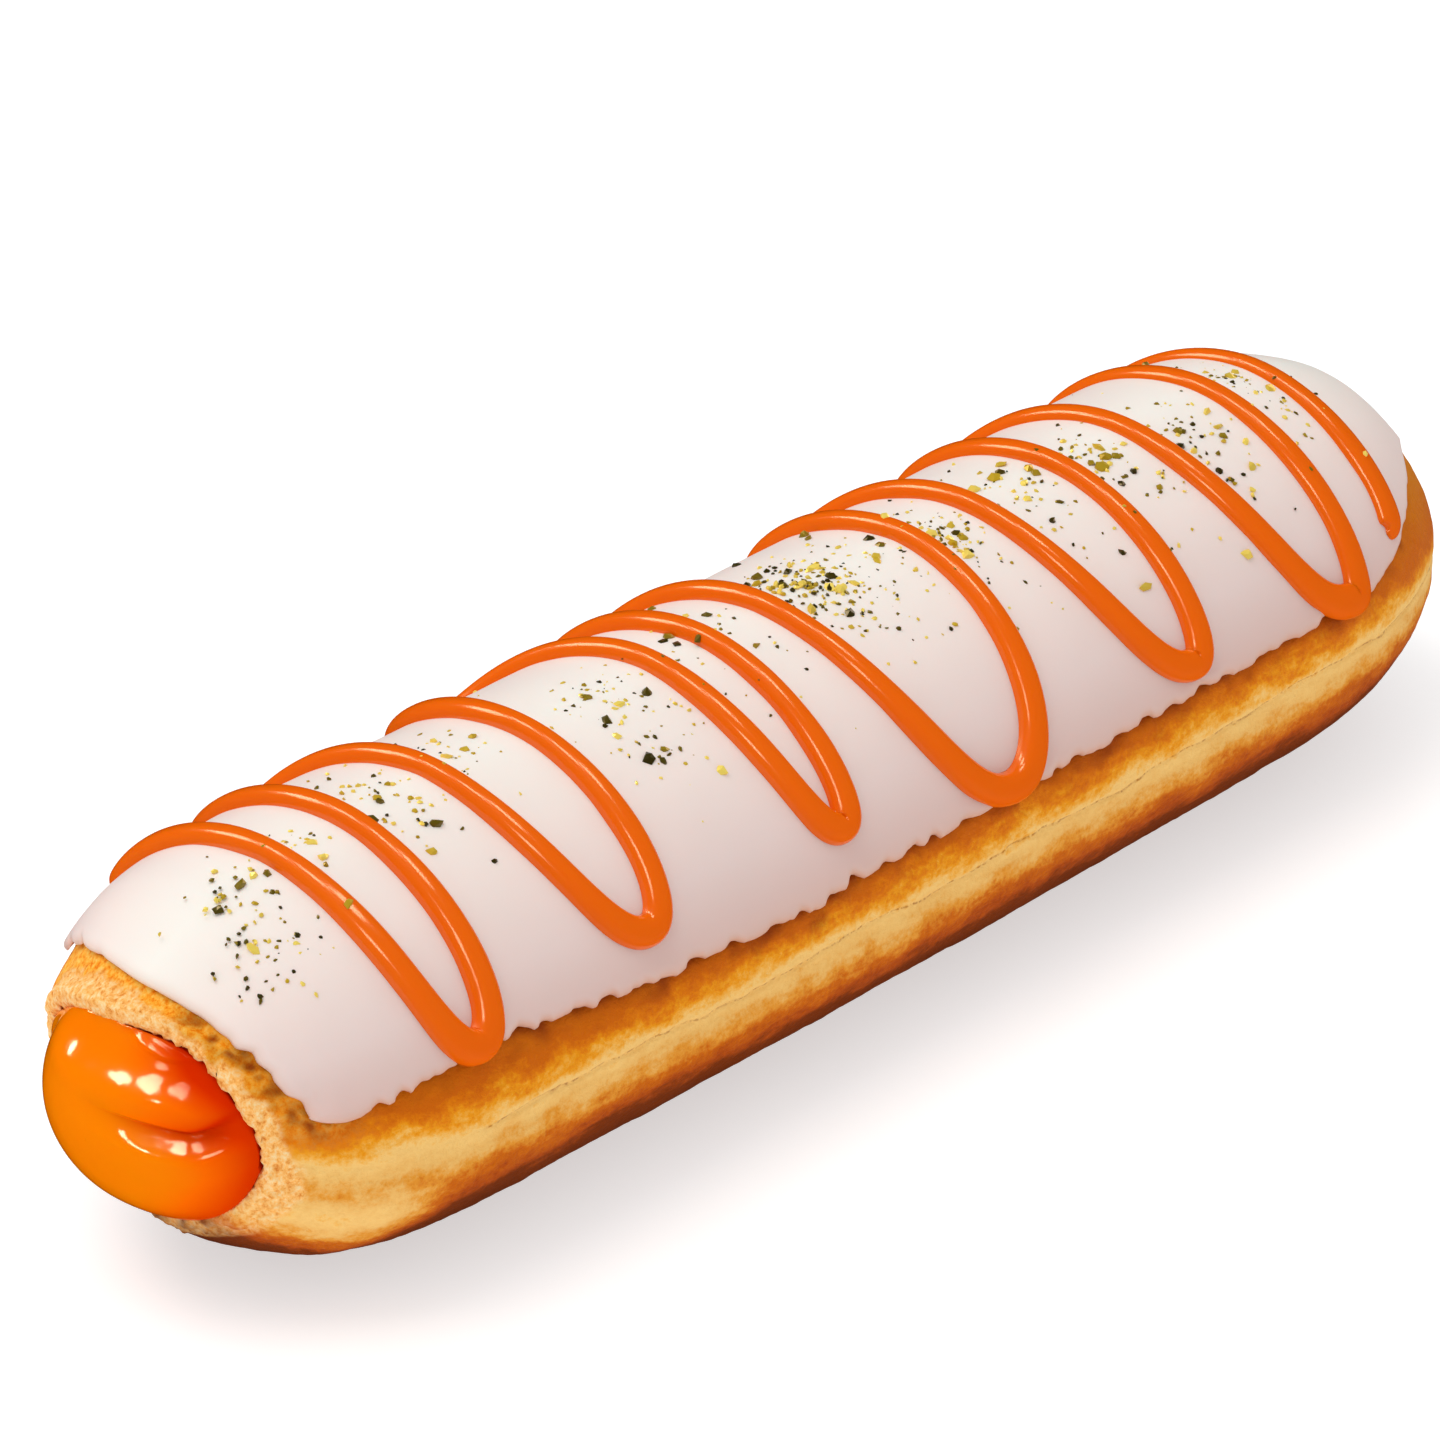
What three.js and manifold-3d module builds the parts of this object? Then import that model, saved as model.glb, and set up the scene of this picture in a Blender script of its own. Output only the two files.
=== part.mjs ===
// A filled finger doughnut: a long fried bun with a pale belt round its sides and one end torn open, orange
// cream piped into it until it swells out of the opening, a cap of white glaze, a zigzag drizzle of orange
// glaze across the top, and flakes of gold leaf along the ridge.
// Millimetres. X runs along the bun from the filled end to the plain one, Y across it, Z up. Shapes are
// worked out from the middle of the belt, and the finished group is set down on the plane Z = 0.
import * as THREE from "three";
import { mergeVertices } from "three/addons/utils/BufferGeometryUtils.js";
import Module from "manifold-3d";

// The bun
const LENGTH = 150;
const HALF_WIDTH = 20.45;
const CROWN = 17.9; // from the belt up to the top of the dough, before its inset under the glaze
const BASE = 15.2; // from the belt down to the underside
const CROWN_POWER = 1.86; // 2 is an ellipse, less is more peaked
const BASE_POWER = 2.06;
const SAG = 1.7; // how much lower the belt is half way along
const SAG_EASE = 0.5; // the share of that lost at the ridge and at the underside
const FLAT = -15.5; // height of the flat that the bun rests on
const WAIST = { depth: 0.5, reach: 2.3 }; // the groove of the belt
const INSET = { depth: 0.7, from: 2.5, to: 7 }; // the sides draw in above the belt, where the glaze lies
const SKEW = 3.6; // how far the filled end draws back at its far corner
const FILLED_END = { reach: 26.9, power: 3.06 }; // where the end's rounding starts, and how blunt it is
const PLAIN_END = { reach: 31.9, power: 2.39 };
const SIDE_ARC = 30.7; // girth from the belt up to the ridge
const ROUND = 42; // points round a section of the bun

// The opening and the hollow that the cream is piped into
const MOUTH = { y: 0.6, z: 0.2, halfWidth: 12.6, halfHeight: 7.7, lip: 1.4 };
const HOLLOW = { halfWidth: 11, halfHeight: 6.5, start: -52, end: 50, nose: 9 };
const GAP = 0.3; // clearance between neighbouring pieces

// The swirl of cream that swells out of the opening
const SWIRL = { x: -69.4, y: 0.8, z: 0.2, reachX: 9.6, reachY: 11.4, reachZ: 10 };
const LEDGE = 0.6; // how much further the lowest coil stands out on the near side
const SWIRL_ROUND = 36;
const SWIRL_ROWS = 30;
const CREASES = [
  { height: 0.8, rise: 2.2, depth: 1.4, width: 3.2 },
  { height: 6.3, rise: 1.2, depth: 1.4, width: 1.6 },
];

// The cap of glaze. Its lower edge lies a girth above the belt, and it is set back low down at the filled end
const GLAZE = { thickness: 0.7, start: -72.3, end: 68.4, edge: 6, setBack: 2.8 };
const GLAZE_STATIONS = 54;
const GLAZE_ACROSS = 12;

// The drizzle. A turn hangs down one side: x where its strand comes over the ridge, x where it goes back, and
// the x and girth above the belt of its lowest point
const BEAD = { ridgeHalfWidth: 1.05, tipHalfWidth: 1.6, height: 1.25, lowHeight: 0.85, sunk: 0.3 };
const BEAD_THINS = { from: 10, to: 60 }; // where along X the drizzle sinks to its low height
const NEAR_TURNS = [
  { from: -59, to: -51.5, x: -55.2, arc: 8.2 },
  { from: -41.5, to: -31.5, x: -35.3, arc: 10.2 },
  { from: -16.5, to: -10.5, x: -12.8, arc: 10.4 },
  { from: -3, to: 14, x: 6, arc: 6.7 },
  { from: 22, to: 32.5, x: 30, arc: 8.4 },
  { from: 41.5, to: 52.2, x: 50.2, arc: 6.4 },
];
const FIRST_STRAND = { x: -57.5, arc: 9 }; // where the drizzle starts on the far side
const LAST_STRAND = { ridge: 59.2, x: 57.2, arc: 9.6 }; // where it ends on the near side
const STRAND_STEPS = 8;

// The gold leaf. Each drift is a sunflower spread of flakes, largest at its middle
const DRIFTS = [
  { x: -63, arc: 27, reach: 6.5 },
  { x: -45.5, arc: 30, reach: 3.5 },
  { x: -23.5, arc: 27, reach: 6 },
  { x: 5, arc: 29, reach: 6.5 },
  { x: 18, arc: 27.5, reach: 3.6 },
  { x: 36.5, arc: 28, reach: 4 },
  { x: 46.5, arc: 23.5, reach: 4 },
  { x: 56, arc: 28, reach: 3.6 },
];
const FLAKES_IN_DRIFT = 8;
const FLAKE = { largest: 0.8, smallest: 0.4, thickness: 0.45 };
const GOLDEN_ANGLE = Math.PI * (3 - Math.sqrt(5));

// The materials
const CRUST = { color: 0xd08a35, roughness: 0.7, metalness: 0 };
const CREAM = { color: 0xff7d00, roughness: 0.25, metalness: 0 };
const WHITE_GLAZE = { color: 0xefe6ec, roughness: 0.25, metalness: 0 };

const wasm = await Module();
wasm.setup();

// A closed mesh as a solid for cutting and joining
function solidOf(geometry) {
  const bare = geometry.clone();
  bare.deleteAttribute("normal");
  bare.deleteAttribute("uv");
  const merged = mergeVertices(bare, 1e-4);
  return new wasm.Manifold(
    new wasm.Mesh({
      numProp: 3,
      vertProperties: new Float32Array(merged.attributes.position.array),
      triVerts: new Uint32Array(merged.index.array),
    }),
  );
}

// Drops the loose scraps that a cut leaves
const largestBody = (solid) => solid.decompose().reduce((a, b) => (b.volume() > a.volume() ? b : a));

function geometryOf(solid) {
  const mesh = solid.getMesh();
  const geometry = new THREE.BufferGeometry();
  geometry.setAttribute("position", new THREE.BufferAttribute(mesh.vertProperties, 3));
  geometry.setIndex(new THREE.BufferAttribute(mesh.triVerts, 1));
  geometry.computeVertexNormals();
  return geometry;
}

// A skin over a row of closed rings of points, each ring closed off at the ends by a fan round its cap point
function loft(rings, startCap, endCap) {
  const count = rings[0].length;
  const points = [...rings.flat(), startCap, endCap];
  const start = points.length - 2;
  const end = points.length - 1;
  const lastRing = (rings.length - 1) * count;
  const index = [];
  for (let j = 0; j < count; j++) {
    const next = (j + 1) % count;
    index.push(start, next, j);
    index.push(end, lastRing + j, lastRing + next);
    for (let i = 0; i < lastRing; i += count) {
      index.push(i + j, i + next, i + count + j);
      index.push(i + next, i + count + next, i + count + j);
    }
  }
  const geometry = new THREE.BufferGeometry().setFromPoints(points);
  geometry.setIndex(index);
  geometry.computeVertexNormals();
  return geometry;
}

const middleOf = (ring) =>
  ring.reduce((sum, point) => sum.add(point), new THREE.Vector3()).divideScalar(ring.length);

const superCos = (angle, power) => Math.sign(Math.cos(angle)) * Math.abs(Math.cos(angle)) ** (2 / power);
const superSin = (angle, power) => Math.sign(Math.sin(angle)) * Math.abs(Math.sin(angle)) ** (2 / power);
const bump = (distance, reach) => Math.exp(-((distance / reach) ** 2));

// --- The bun's skin ---

// How far along an end's rounding x lies, from 0 where it starts to 1 at the tip
function endShare(x) {
  const end = x < 0 ? FILLED_END : PLAIN_END;
  return { end, share: Math.max(0, (Math.abs(x) - LENGTH / 2 + end.reach) / end.reach) };
}

// The size of the section at x, as a share of the middle section
function sectionScale(x) {
  const { end, share } = endShare(x);
  return Math.max(0, 1 - share ** end.power) ** (1 / end.power);
}

const beltHeight = (x) => -SAG * (1 - ((2 * x) / LENGTH) ** 2);

// The inset runs out towards the plain end, which the glaze leaves bare
const insetAt = (x, z) =>
  INSET.depth *
  THREE.MathUtils.smoothstep(z, INSET.from, INSET.to) *
  THREE.MathUtils.smoothstep(LENGTH / 2 - x, 8, 30);

const drawnBack = (y, share) => SKEW * (Math.max(0, y / HALF_WIDTH) * share) ** 2;

// Where the filled end's skin lies along X, for a point of its section
function filledEndX(y, z) {
  const [rise, power] = z < 0 ? [BASE, BASE_POWER] : [CROWN, CROWN_POWER];
  const scale = (Math.abs(y / HALF_WIDTH) ** power + Math.abs(z / rise) ** power) ** (1 / power);
  const share = Math.max(0, 1 - scale ** FILLED_END.power) ** (1 / FILLED_END.power);
  return FILLED_END.reach * (1 - share) - LENGTH / 2 + drawnBack(y, share);
}

// A point of the skin: angle 0 is the near side's belt, a quarter turn the ridge and a half turn the far
// side's belt. It stands out from the skin by the distance given
function skinPoint(x, angle, out = 0) {
  const scale = sectionScale(x);
  const [rise, power] = Math.sin(angle) < 0 ? [BASE, BASE_POWER] : [CROWN, CROWN_POWER];
  const y = -HALF_WIDTH * scale * superCos(angle, power);
  const z = rise * scale * superSin(angle, power);
  const { end, share } = endShare(x);
  const turnIn = share ** (end.power - 1) * Math.max(scale, 1e-3) ** (1 - end.power);
  const slope = (Math.sign(x) * turnIn) / end.reach;
  const steep = Math.max(scale, 1e-6) ** (power - 1);
  const normal = new THREE.Vector3(
    slope,
    (Math.sign(y) * Math.abs(y / HALF_WIDTH) ** (power - 1)) / steep / HALF_WIDTH,
    (Math.sign(z) * Math.abs(z / rise) ** (power - 1)) / steep / rise,
  ).normalize();
  const relief = out - WAIST.depth * scale * bump(z, WAIST.reach) - insetAt(x, z);
  const sag = beltHeight(x) * (1 - SAG_EASE * Math.abs(Math.sin(angle)));
  const point = new THREE.Vector3(x, y, z + sag).addScaledVector(normal, relief);
  point.x += x < 0 ? drawnBack(y, share) : 0;
  point.z = Math.max(point.z, FLAT);
  return { point, normal };
}

const angleAt = (arc) => ((arc / SIDE_ARC) * Math.PI) / 2;

// Angles round the section, closest at the belt on each side
const sectionAngles = Array.from({ length: ROUND }, (_, i) => {
  const turn = (i / ROUND) * 2 * Math.PI;
  return turn - 0.25 * Math.sin(2 * turn);
});

// --- The bun with its hollow ---

// A ring of the opening or of the hollow, an ellipse round the axis of the opening
function hollowRing(xAt, halfWidth, halfHeight) {
  return sectionAngles.map((angle) => {
    const y = MOUTH.y - halfWidth * Math.cos(angle);
    const z = MOUTH.z + halfHeight * Math.sin(angle);
    return new THREE.Vector3(xAt(y, z), y, z);
  });
}

// The rings of the hollow from the opening inwards, smaller all round by the inset
function hollowRings(inset, firstDepth) {
  const rings = [];
  const funnelSteps = 4;
  for (let i = 0; i <= funnelSteps; i++) {
    const share = i / funnelSteps;
    const ease = share * share * (3 - 2 * share);
    const width = THREE.MathUtils.lerp(MOUTH.halfWidth, HOLLOW.halfWidth, ease) - inset;
    const height = THREE.MathUtils.lerp(MOUTH.halfHeight, HOLLOW.halfHeight, ease) - inset;
    const xAt = (y, z) => THREE.MathUtils.lerp(filledEndX(y, z) + firstDepth, HOLLOW.start, share);
    rings.push(hollowRing(xAt, width, height));
  }
  const noseSteps = 4;
  for (let i = 0; i < noseSteps; i++) {
    const angle = (i / noseSteps) * (Math.PI / 2);
    const x = HOLLOW.end - inset - HOLLOW.nose * (1 - Math.sin(angle));
    const scale = Math.cos(angle);
    rings.push(hollowRing(() => x, (HOLLOW.halfWidth - inset) * scale, (HOLLOW.halfHeight - inset) * scale));
  }
  return rings;
}

const hollowTip = (inset) => new THREE.Vector3(HOLLOW.end - inset, MOUTH.y, MOUTH.z);

function doughGeometry() {
  const ringAt = (x) => sectionAngles.map((angle) => skinPoint(x, angle).point);
  const rings = [];
  const roundSteps = 9;
  for (let i = 1; i < roundSteps; i++) {
    const angle = (1 - i / roundSteps) * (Math.PI / 2);
    rings.push(ringAt(LENGTH / 2 - PLAIN_END.reach * (1 - superSin(angle, PLAIN_END.power))));
  }
  const straightSteps = 11;
  const straightStart = LENGTH / 2 - PLAIN_END.reach;
  const straightEnd = FILLED_END.reach - LENGTH / 2;
  for (let i = 0; i <= straightSteps; i++) {
    rings.push(ringAt(THREE.MathUtils.lerp(straightStart, straightEnd, i / straightSteps)));
  }
  // The filled end turns in to the lip of the opening
  const faceSteps = 8;
  const faceTurn = 0.68 * (Math.PI / 2);
  for (let i = 1; i <= faceSteps; i++) {
    const share = i / faceSteps;
    const x = FILLED_END.reach * (1 - superSin(share * faceTurn, FILLED_END.power)) - LENGTH / 2;
    const blend = THREE.MathUtils.smoothstep(share, 0.45, 1);
    rings.push(
      sectionAngles.map((angle) => {
        const outer = skinPoint(x, angle).point;
        const y = MOUTH.y - (MOUTH.halfWidth + MOUTH.lip) * Math.cos(angle);
        const z = MOUTH.z + (MOUTH.halfHeight + MOUTH.lip) * Math.sin(angle);
        return outer.lerp(new THREE.Vector3(filledEndX(y, z), y, z), blend);
      }),
    );
  }
  // The rounded lip
  for (const angle of [Math.PI / 6, Math.PI / 3]) {
    const ease = MOUTH.lip * (1 - Math.sin(angle));
    const depth = MOUTH.lip * (1 - Math.cos(angle));
    rings.push(
      hollowRing((y, z) => filledEndX(y, z) + depth, MOUTH.halfWidth + ease, MOUTH.halfHeight + ease),
    );
  }
  rings.push(...hollowRings(0, MOUTH.lip));
  return loft(rings, new THREE.Vector3(LENGTH / 2, 0, beltHeight(LENGTH / 2)), hollowTip(0));
}

// The same skin standing out all round by the gap, to cut the cream with
function grown(geometry, distance) {
  const result = geometry.clone();
  const position = result.getAttribute("position");
  const normal = result.getAttribute("normal");
  const point = new THREE.Vector3();
  const direction = new THREE.Vector3();
  for (let i = 0; i < position.count; i++) {
    point.fromBufferAttribute(position, i);
    point.addScaledVector(direction.fromBufferAttribute(normal, i), distance);
    position.setXYZ(i, point.x, point.y, point.z);
  }
  return result;
}

// --- The cream ---

// A heap of piped coils. A crease between two coils is deep on the near side and runs out round the front
function swirlGeometry() {
  const centre = new THREE.Vector3(SWIRL.x, SWIRL.y, SWIRL.z);
  const pointAt = (azimuth, latitude) => {
    const side = Math.cos(latitude);
    const facing = Math.max(0, Math.cos(azimuth - Math.PI / 3));
    const height = SWIRL.reachZ * Math.sin(latitude);
    let shrink = -LEDGE * facing * THREE.MathUtils.smoothstep(CREASES[0].height - height, 0, 2);
    for (const { height: level, rise, depth, width } of CREASES) {
      const line = level + rise * (1 - Math.sin(azimuth)) ** 2;
      shrink += depth * facing * Math.max(0, 1 - Math.abs(height - line) / width) ** 2;
    }
    return new THREE.Vector3(
      -(SWIRL.reachX - shrink) * side * Math.cos(azimuth),
      -(SWIRL.reachY - shrink) * side * Math.sin(azimuth),
      height,
    ).add(centre);
  };
  const rings = [];
  for (let i = 1; i < SWIRL_ROWS; i++) {
    const latitude = (i / SWIRL_ROWS - 0.5) * Math.PI;
    rings.push(
      Array.from({ length: SWIRL_ROUND }, (_, j) => pointAt((j / SWIRL_ROUND) * 2 * Math.PI, latitude)),
    );
  }
  return loft(rings, pointAt(0, -Math.PI / 2), pointAt(0, Math.PI / 2));
}

// --- The glaze ---

// Girth above the belt of the glaze's lower edge, which creeps up at the filled end's corner and round the
// plain end, and has a scalloped, slightly uneven line
function glazeEdge(x, side) {
  const scallops = 0.3 * Math.sin(0.93 * x + side) + 0.22 * Math.sin(1.71 * x + 2 * side);
  const swell = 1.7 * bump(x + 54, 13) - 0.5 * bump(x + 19, 5);
  const corner = 1.3 * THREE.MathUtils.clamp((GLAZE.start + 2.5 - x) / 2.5, 0, 1) ** 2;
  const roundEnd = 2.4 * (Math.max(0, x - 51) / 8) ** 2;
  return GLAZE.edge + scallops + swell + corner + roundEnd;
}

function glazeGeometry() {
  const inner = GAP;
  const outer = GAP + GLAZE.thickness;
  const middle = (inner + outer) / 2;
  const rings = [];
  for (let i = 0; i <= GLAZE_STATIONS; i++) {
    // Closest together at the ends
    const along = i / GLAZE_STATIONS - (0.6 * Math.sin((2 * Math.PI * i) / GLAZE_STATIONS)) / (2 * Math.PI);
    const x = THREE.MathUtils.lerp(GLAZE.start, GLAZE.end, along);
    const endRing = i === 0 || i === GLAZE_STATIONS;
    const near = glazeEdge(x, 0);
    const far = 2 * SIDE_ARC - glazeEdge(x, 1);
    const row = (outward) =>
      Array.from({ length: GLAZE_ACROSS + 1 }, (_, j) => {
        const edge = endRing || j === 0 || j === GLAZE_ACROSS;
        const out = outward ? (edge ? middle + 0.15 : outer) : inner;
        const angle = angleAt(THREE.MathUtils.lerp(near, far, j / GLAZE_ACROSS));
        const setBack = GLAZE.setBack * (1 - Math.sin(angle)) * bump(x - GLAZE.start, 5);
        return skinPoint(x + setBack, angle, out).point;
      });
    rings.push([...row(true), ...row(false).reverse()]);
  }
  const strip = (ring) => {
    const half = ring.length / 2;
    const index = [];
    for (let j = 0; j < half - 1; j++) {
      const facing = ring.length - 1 - j;
      index.push([j, j + 1, facing], [j + 1, facing - 1, facing]);
    }
    return index;
  };
  const count = rings[0].length;
  const last = GLAZE_STATIONS * count;
  const index = [];
  for (const [a, b, c] of strip(rings[0])) {
    index.push(a, c, b, last + a, last + b, last + c);
  }
  for (let i = 0; i < last; i += count) {
    for (let j = 0; j < count; j++) {
      const next = (j + 1) % count;
      index.push(i + j, i + next, i + count + j);
      index.push(i + next, i + count + next, i + count + j);
    }
  }
  const geometry = new THREE.BufferGeometry().setFromPoints(rings.flat());
  geometry.setIndex(index.reverse());
  return geometry;
}

// --- The drizzle ---

// Half of a turn, from the ridge to its lowest point, on a flat chart of x against girth
function halfTurn(ridgeX, x, arc) {
  const reach = Math.abs(x - ridgeX);
  const drop = Math.abs(SIDE_ARC - arc);
  const down = Math.sign(arc - SIDE_ARC);
  const straight = Math.max(0.3 * drop, drop - 1.6 * reach);
  const along = Math.sign(x - ridgeX) * Math.max(0.7 * reach, Math.min(1.3, reach));
  return new THREE.CubicBezierCurve(
    new THREE.Vector2(ridgeX, SIDE_ARC),
    new THREE.Vector2(ridgeX, SIDE_ARC + down * straight),
    new THREE.Vector2(x - along, arc),
    new THREE.Vector2(x, arc),
  );
}

// The whole drizzle on that chart: down and up the near side at each turn, and over the ridge to a like turn
// on the far side in between
function drizzleChart() {
  const points = [];
  const follow = (curve, backwards) => {
    const line = curve.getPoints(STRAND_STEPS);
    points.push(...(backwards ? line.reverse() : line).slice(points.length ? 1 : 0));
  };
  follow(halfTurn(NEAR_TURNS[0].from, FIRST_STRAND.x, 2 * SIDE_ARC - FIRST_STRAND.arc), true);
  NEAR_TURNS.forEach((turn, i) => {
    follow(halfTurn(turn.from, turn.x, turn.arc), false);
    follow(halfTurn(turn.to, turn.x, turn.arc), true);
    const next = NEAR_TURNS[i + 1]?.from ?? LAST_STRAND.ridge;
    const farX = (turn.to + next) / 2;
    const farArc = 2 * SIDE_ARC - (7.5 + 1.5 * Math.sin(2.3 * i));
    follow(halfTurn(turn.to, farX, farArc), false);
    follow(halfTurn(next, farX, farArc), true);
  });
  follow(halfTurn(LAST_STRAND.ridge, LAST_STRAND.x, LAST_STRAND.arc), false);
  return points;
}

const drizzleLine = drizzleChart();

function drizzleGeometry() {
  const path = drizzleLine.map(({ x, y }) => ({
    ...skinPoint(x, angleAt(y), GAP + GLAZE.thickness),
    low: Math.abs(1 - y / SIDE_ARC),
  }));
  const rings = path.map(({ point, normal, low }, i) => {
    const before = path[Math.max(0, i - 1)].point;
    const after = path[Math.min(path.length - 1, i + 1)].point;
    const along = after.clone().sub(before);
    const side = along.clone().normalize().cross(normal).normalize();
    const turn = after.clone().add(before).addScaledVector(point, -2).dot(side) / (along.length() / 2) ** 2;
    const wide = THREE.MathUtils.lerp(BEAD.ridgeHalfWidth, BEAD.tipHalfWidth, low);
    const thinned = THREE.MathUtils.smoothstep(point.x, BEAD_THINS.from, BEAD_THINS.to);
    const height = THREE.MathUtils.lerp(BEAD.height, BEAD.lowHeight, thinned);
    // On the inside of a tight turn the bead is no wider than the turn's radius
    const widthOn = (hand) => (turn * hand > 0 ? Math.min(wide, 0.9 / Math.abs(turn)) : wide);
    const outline = [
      [-1, -BEAD.sunk],
      [-0.93, 0.5 * height],
      [-0.45, 0.95 * height],
      [0.45, 0.95 * height],
      [0.93, 0.5 * height],
      [1, -BEAD.sunk],
    ];
    return outline.map(([across, up]) =>
      point
        .clone()
        .addScaledVector(side, across * widthOn(Math.sign(across)))
        .addScaledVector(normal, up),
    );
  });
  // Each end is drawn out to a blunt point
  const tipBeyond = (ring, before) => {
    const tip = middleOf(ring);
    return tip.addScaledVector(tip.clone().sub(middleOf(before)).normalize(), BEAD.height);
  };
  return loft(rings, tipBeyond(rings[0], rings[1]), tipBeyond(rings.at(-1), rings.at(-2)));
}

// --- The gold leaf ---

const clearOfDrizzle = (x, arc) =>
  drizzleLine.every((spot) => Math.hypot(spot.x - x, spot.y - arc) > BEAD.tipHalfWidth + FLAKE.largest / 2);

// A crumpled flake: a flattened octahedron with uneven corners, lying on the glaze
function flakeGeometry(x, arc, size, turn) {
  const { point, normal } = skinPoint(x, angleAt(arc), GAP + GLAZE.thickness);
  const geometry = new THREE.OctahedronGeometry(1, 0);
  const position = geometry.getAttribute("position");
  for (let i = 0; i < position.count; i++) {
    const corner = new THREE.Vector3().fromBufferAttribute(position, i);
    const uneven = 1 + 0.25 * Math.sin(3 * corner.x + 5 * corner.y + turn);
    position.setXYZ(i, corner.x * uneven, corner.y * uneven * 0.8, corner.z);
  }
  const lie = new THREE.Quaternion().setFromUnitVectors(new THREE.Vector3(0, 0, 1), normal);
  const spin = new THREE.Quaternion().setFromAxisAngle(new THREE.Vector3(0, 0, 1), turn);
  const scale = new THREE.Vector3(size, size, FLAKE.thickness);
  return geometry.applyMatrix4(new THREE.Matrix4().compose(point, lie.multiply(spin), scale));
}

function flakeGeometries() {
  const flakes = [];
  DRIFTS.forEach((drift, group) => {
    for (let i = 0; i < FLAKES_IN_DRIFT; i++) {
      const share = (i + 0.5) / FLAKES_IN_DRIFT;
      const turn = i * GOLDEN_ANGLE + group;
      const x = drift.x + drift.reach * Math.sqrt(share) * Math.cos(turn);
      const arc = drift.arc + 1.2 * drift.reach * Math.sqrt(share) * Math.sin(turn);
      const size = THREE.MathUtils.lerp(FLAKE.largest, FLAKE.smallest, share);
      if (clearOfDrizzle(x, arc)) flakes.push(flakeGeometry(x, arc, size, turn));
    }
  });
  return flakes;
}

// --- The finished pieces ---

function doughMesh(skin) {
  const mesh = new THREE.Mesh(skin, new THREE.MeshStandardMaterial(CRUST));
  mesh.name = "dough";
  return mesh;
}

// The cream fills the hollow and swells out of the opening, clear of the dough
function fillingMesh(skin) {
  const coreRings = hollowRings(GAP + 0.05, MOUTH.lip + 0.6);
  const core = solidOf(loft(coreRings.reverse(), hollowTip(GAP + 0.05), middleOf(coreRings.at(-1))));
  const swirl = solidOf(swirlGeometry()).subtract(solidOf(grown(skin, 2 * GAP)));
  const solid = largestBody(core.add(swirl));
  const mesh = new THREE.Mesh(geometryOf(solid), new THREE.MeshStandardMaterial(CREAM));
  mesh.name = "filling";
  return mesh;
}

function icingMesh() {
  const toppings = [drizzleGeometry(), ...flakeGeometries()].map(solidOf);
  const solid = toppings.reduce((joined, topping) => joined.add(topping), solidOf(glazeGeometry()));
  const mesh = new THREE.Mesh(geometryOf(solid), new THREE.MeshStandardMaterial(WHITE_GLAZE));
  mesh.name = "icing";
  return mesh;
}

const eclair = new THREE.Group();
const doughSkin = doughGeometry();
eclair.add(doughMesh(doughSkin), fillingMesh(doughSkin), icingMesh());

// The origin is the middle of the underside
const box = new THREE.Box3().setFromObject(eclair, true);
const centre = box.getCenter(new THREE.Vector3());
eclair.position.set(-centre.x, -centre.y, -box.min.z);

export default eclair;
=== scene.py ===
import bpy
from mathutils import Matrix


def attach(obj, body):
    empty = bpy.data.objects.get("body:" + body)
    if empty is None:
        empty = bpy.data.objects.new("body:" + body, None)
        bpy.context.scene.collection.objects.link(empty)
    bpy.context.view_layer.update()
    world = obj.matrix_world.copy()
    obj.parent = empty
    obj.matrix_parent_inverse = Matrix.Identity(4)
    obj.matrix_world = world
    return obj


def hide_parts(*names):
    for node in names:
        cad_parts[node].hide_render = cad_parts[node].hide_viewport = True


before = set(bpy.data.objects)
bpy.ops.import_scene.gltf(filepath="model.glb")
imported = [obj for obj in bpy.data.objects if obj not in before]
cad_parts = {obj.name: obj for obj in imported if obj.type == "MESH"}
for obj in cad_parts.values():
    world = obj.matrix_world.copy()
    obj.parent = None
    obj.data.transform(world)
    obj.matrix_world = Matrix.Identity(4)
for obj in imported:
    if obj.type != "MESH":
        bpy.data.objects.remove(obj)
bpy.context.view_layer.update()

import itertools
import math

import bpy
import numpy as np
from mathutils import Matrix, Vector
from mathutils.bvhtree import BVHTree

# ---------------------------------------------------------------- The bun
# A finger doughnut of sweet yeast dough. It was fried floating, one side and then the other, so a pale
# belt runs round it between two brown faces. One end was torn open for the cream.

# Lengths are in millimetres from the middle of the belt, as in the CAD, until a mesh is made. Half of the
# section is a rounded arch, the crown above the belt and the base below it, that narrows to both ends.
LENGTH = 150.0
HALF_WIDTH = 20.45
CROWN, CROWN_POWER = 17.9, 1.86
BASE, BASE_POWER = 15.2, 2.06
FILLED_REACH, FILLED_POWER = 26.9, 3.06
PLAIN_REACH, PLAIN_POWER = 31.9, 2.39

# The belt is a shallow waist, and the crust above it is set in under the glaze. The middle sags, the
# underside has a flat and the filled end is skewed. The ridge is one side's arc of girth from the belt.
WAIST_DEPTH, WAIST_REACH = 0.5, 2.3
INSET_DEPTH, INSET_FROM, INSET_TO = 0.7, 2.5, 7.0
INSET_FADE_END, INSET_FADE_START = 8, 30
SAG, SAG_EASE = 1.7, 0.5
FLAT = -15.5
SKEW = 3.6
SIDE_ARC = 30.7

# The torn mouth opens into a hollow with a rounded far end
MOUTH_Y, MOUTH_Z = 0.6, 0.2
MOUTH_HALF_WIDTH, MOUTH_HALF_HEIGHT, LIP = 12.6, 7.7, 1.4
HOLLOW_HALF_WIDTH, HOLLOW_HALF_HEIGHT = 11.0, 6.5
HOLLOW_START, HOLLOW_END, HOLLOW_NOSE = -52.0, 50.0, 9.0

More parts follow.
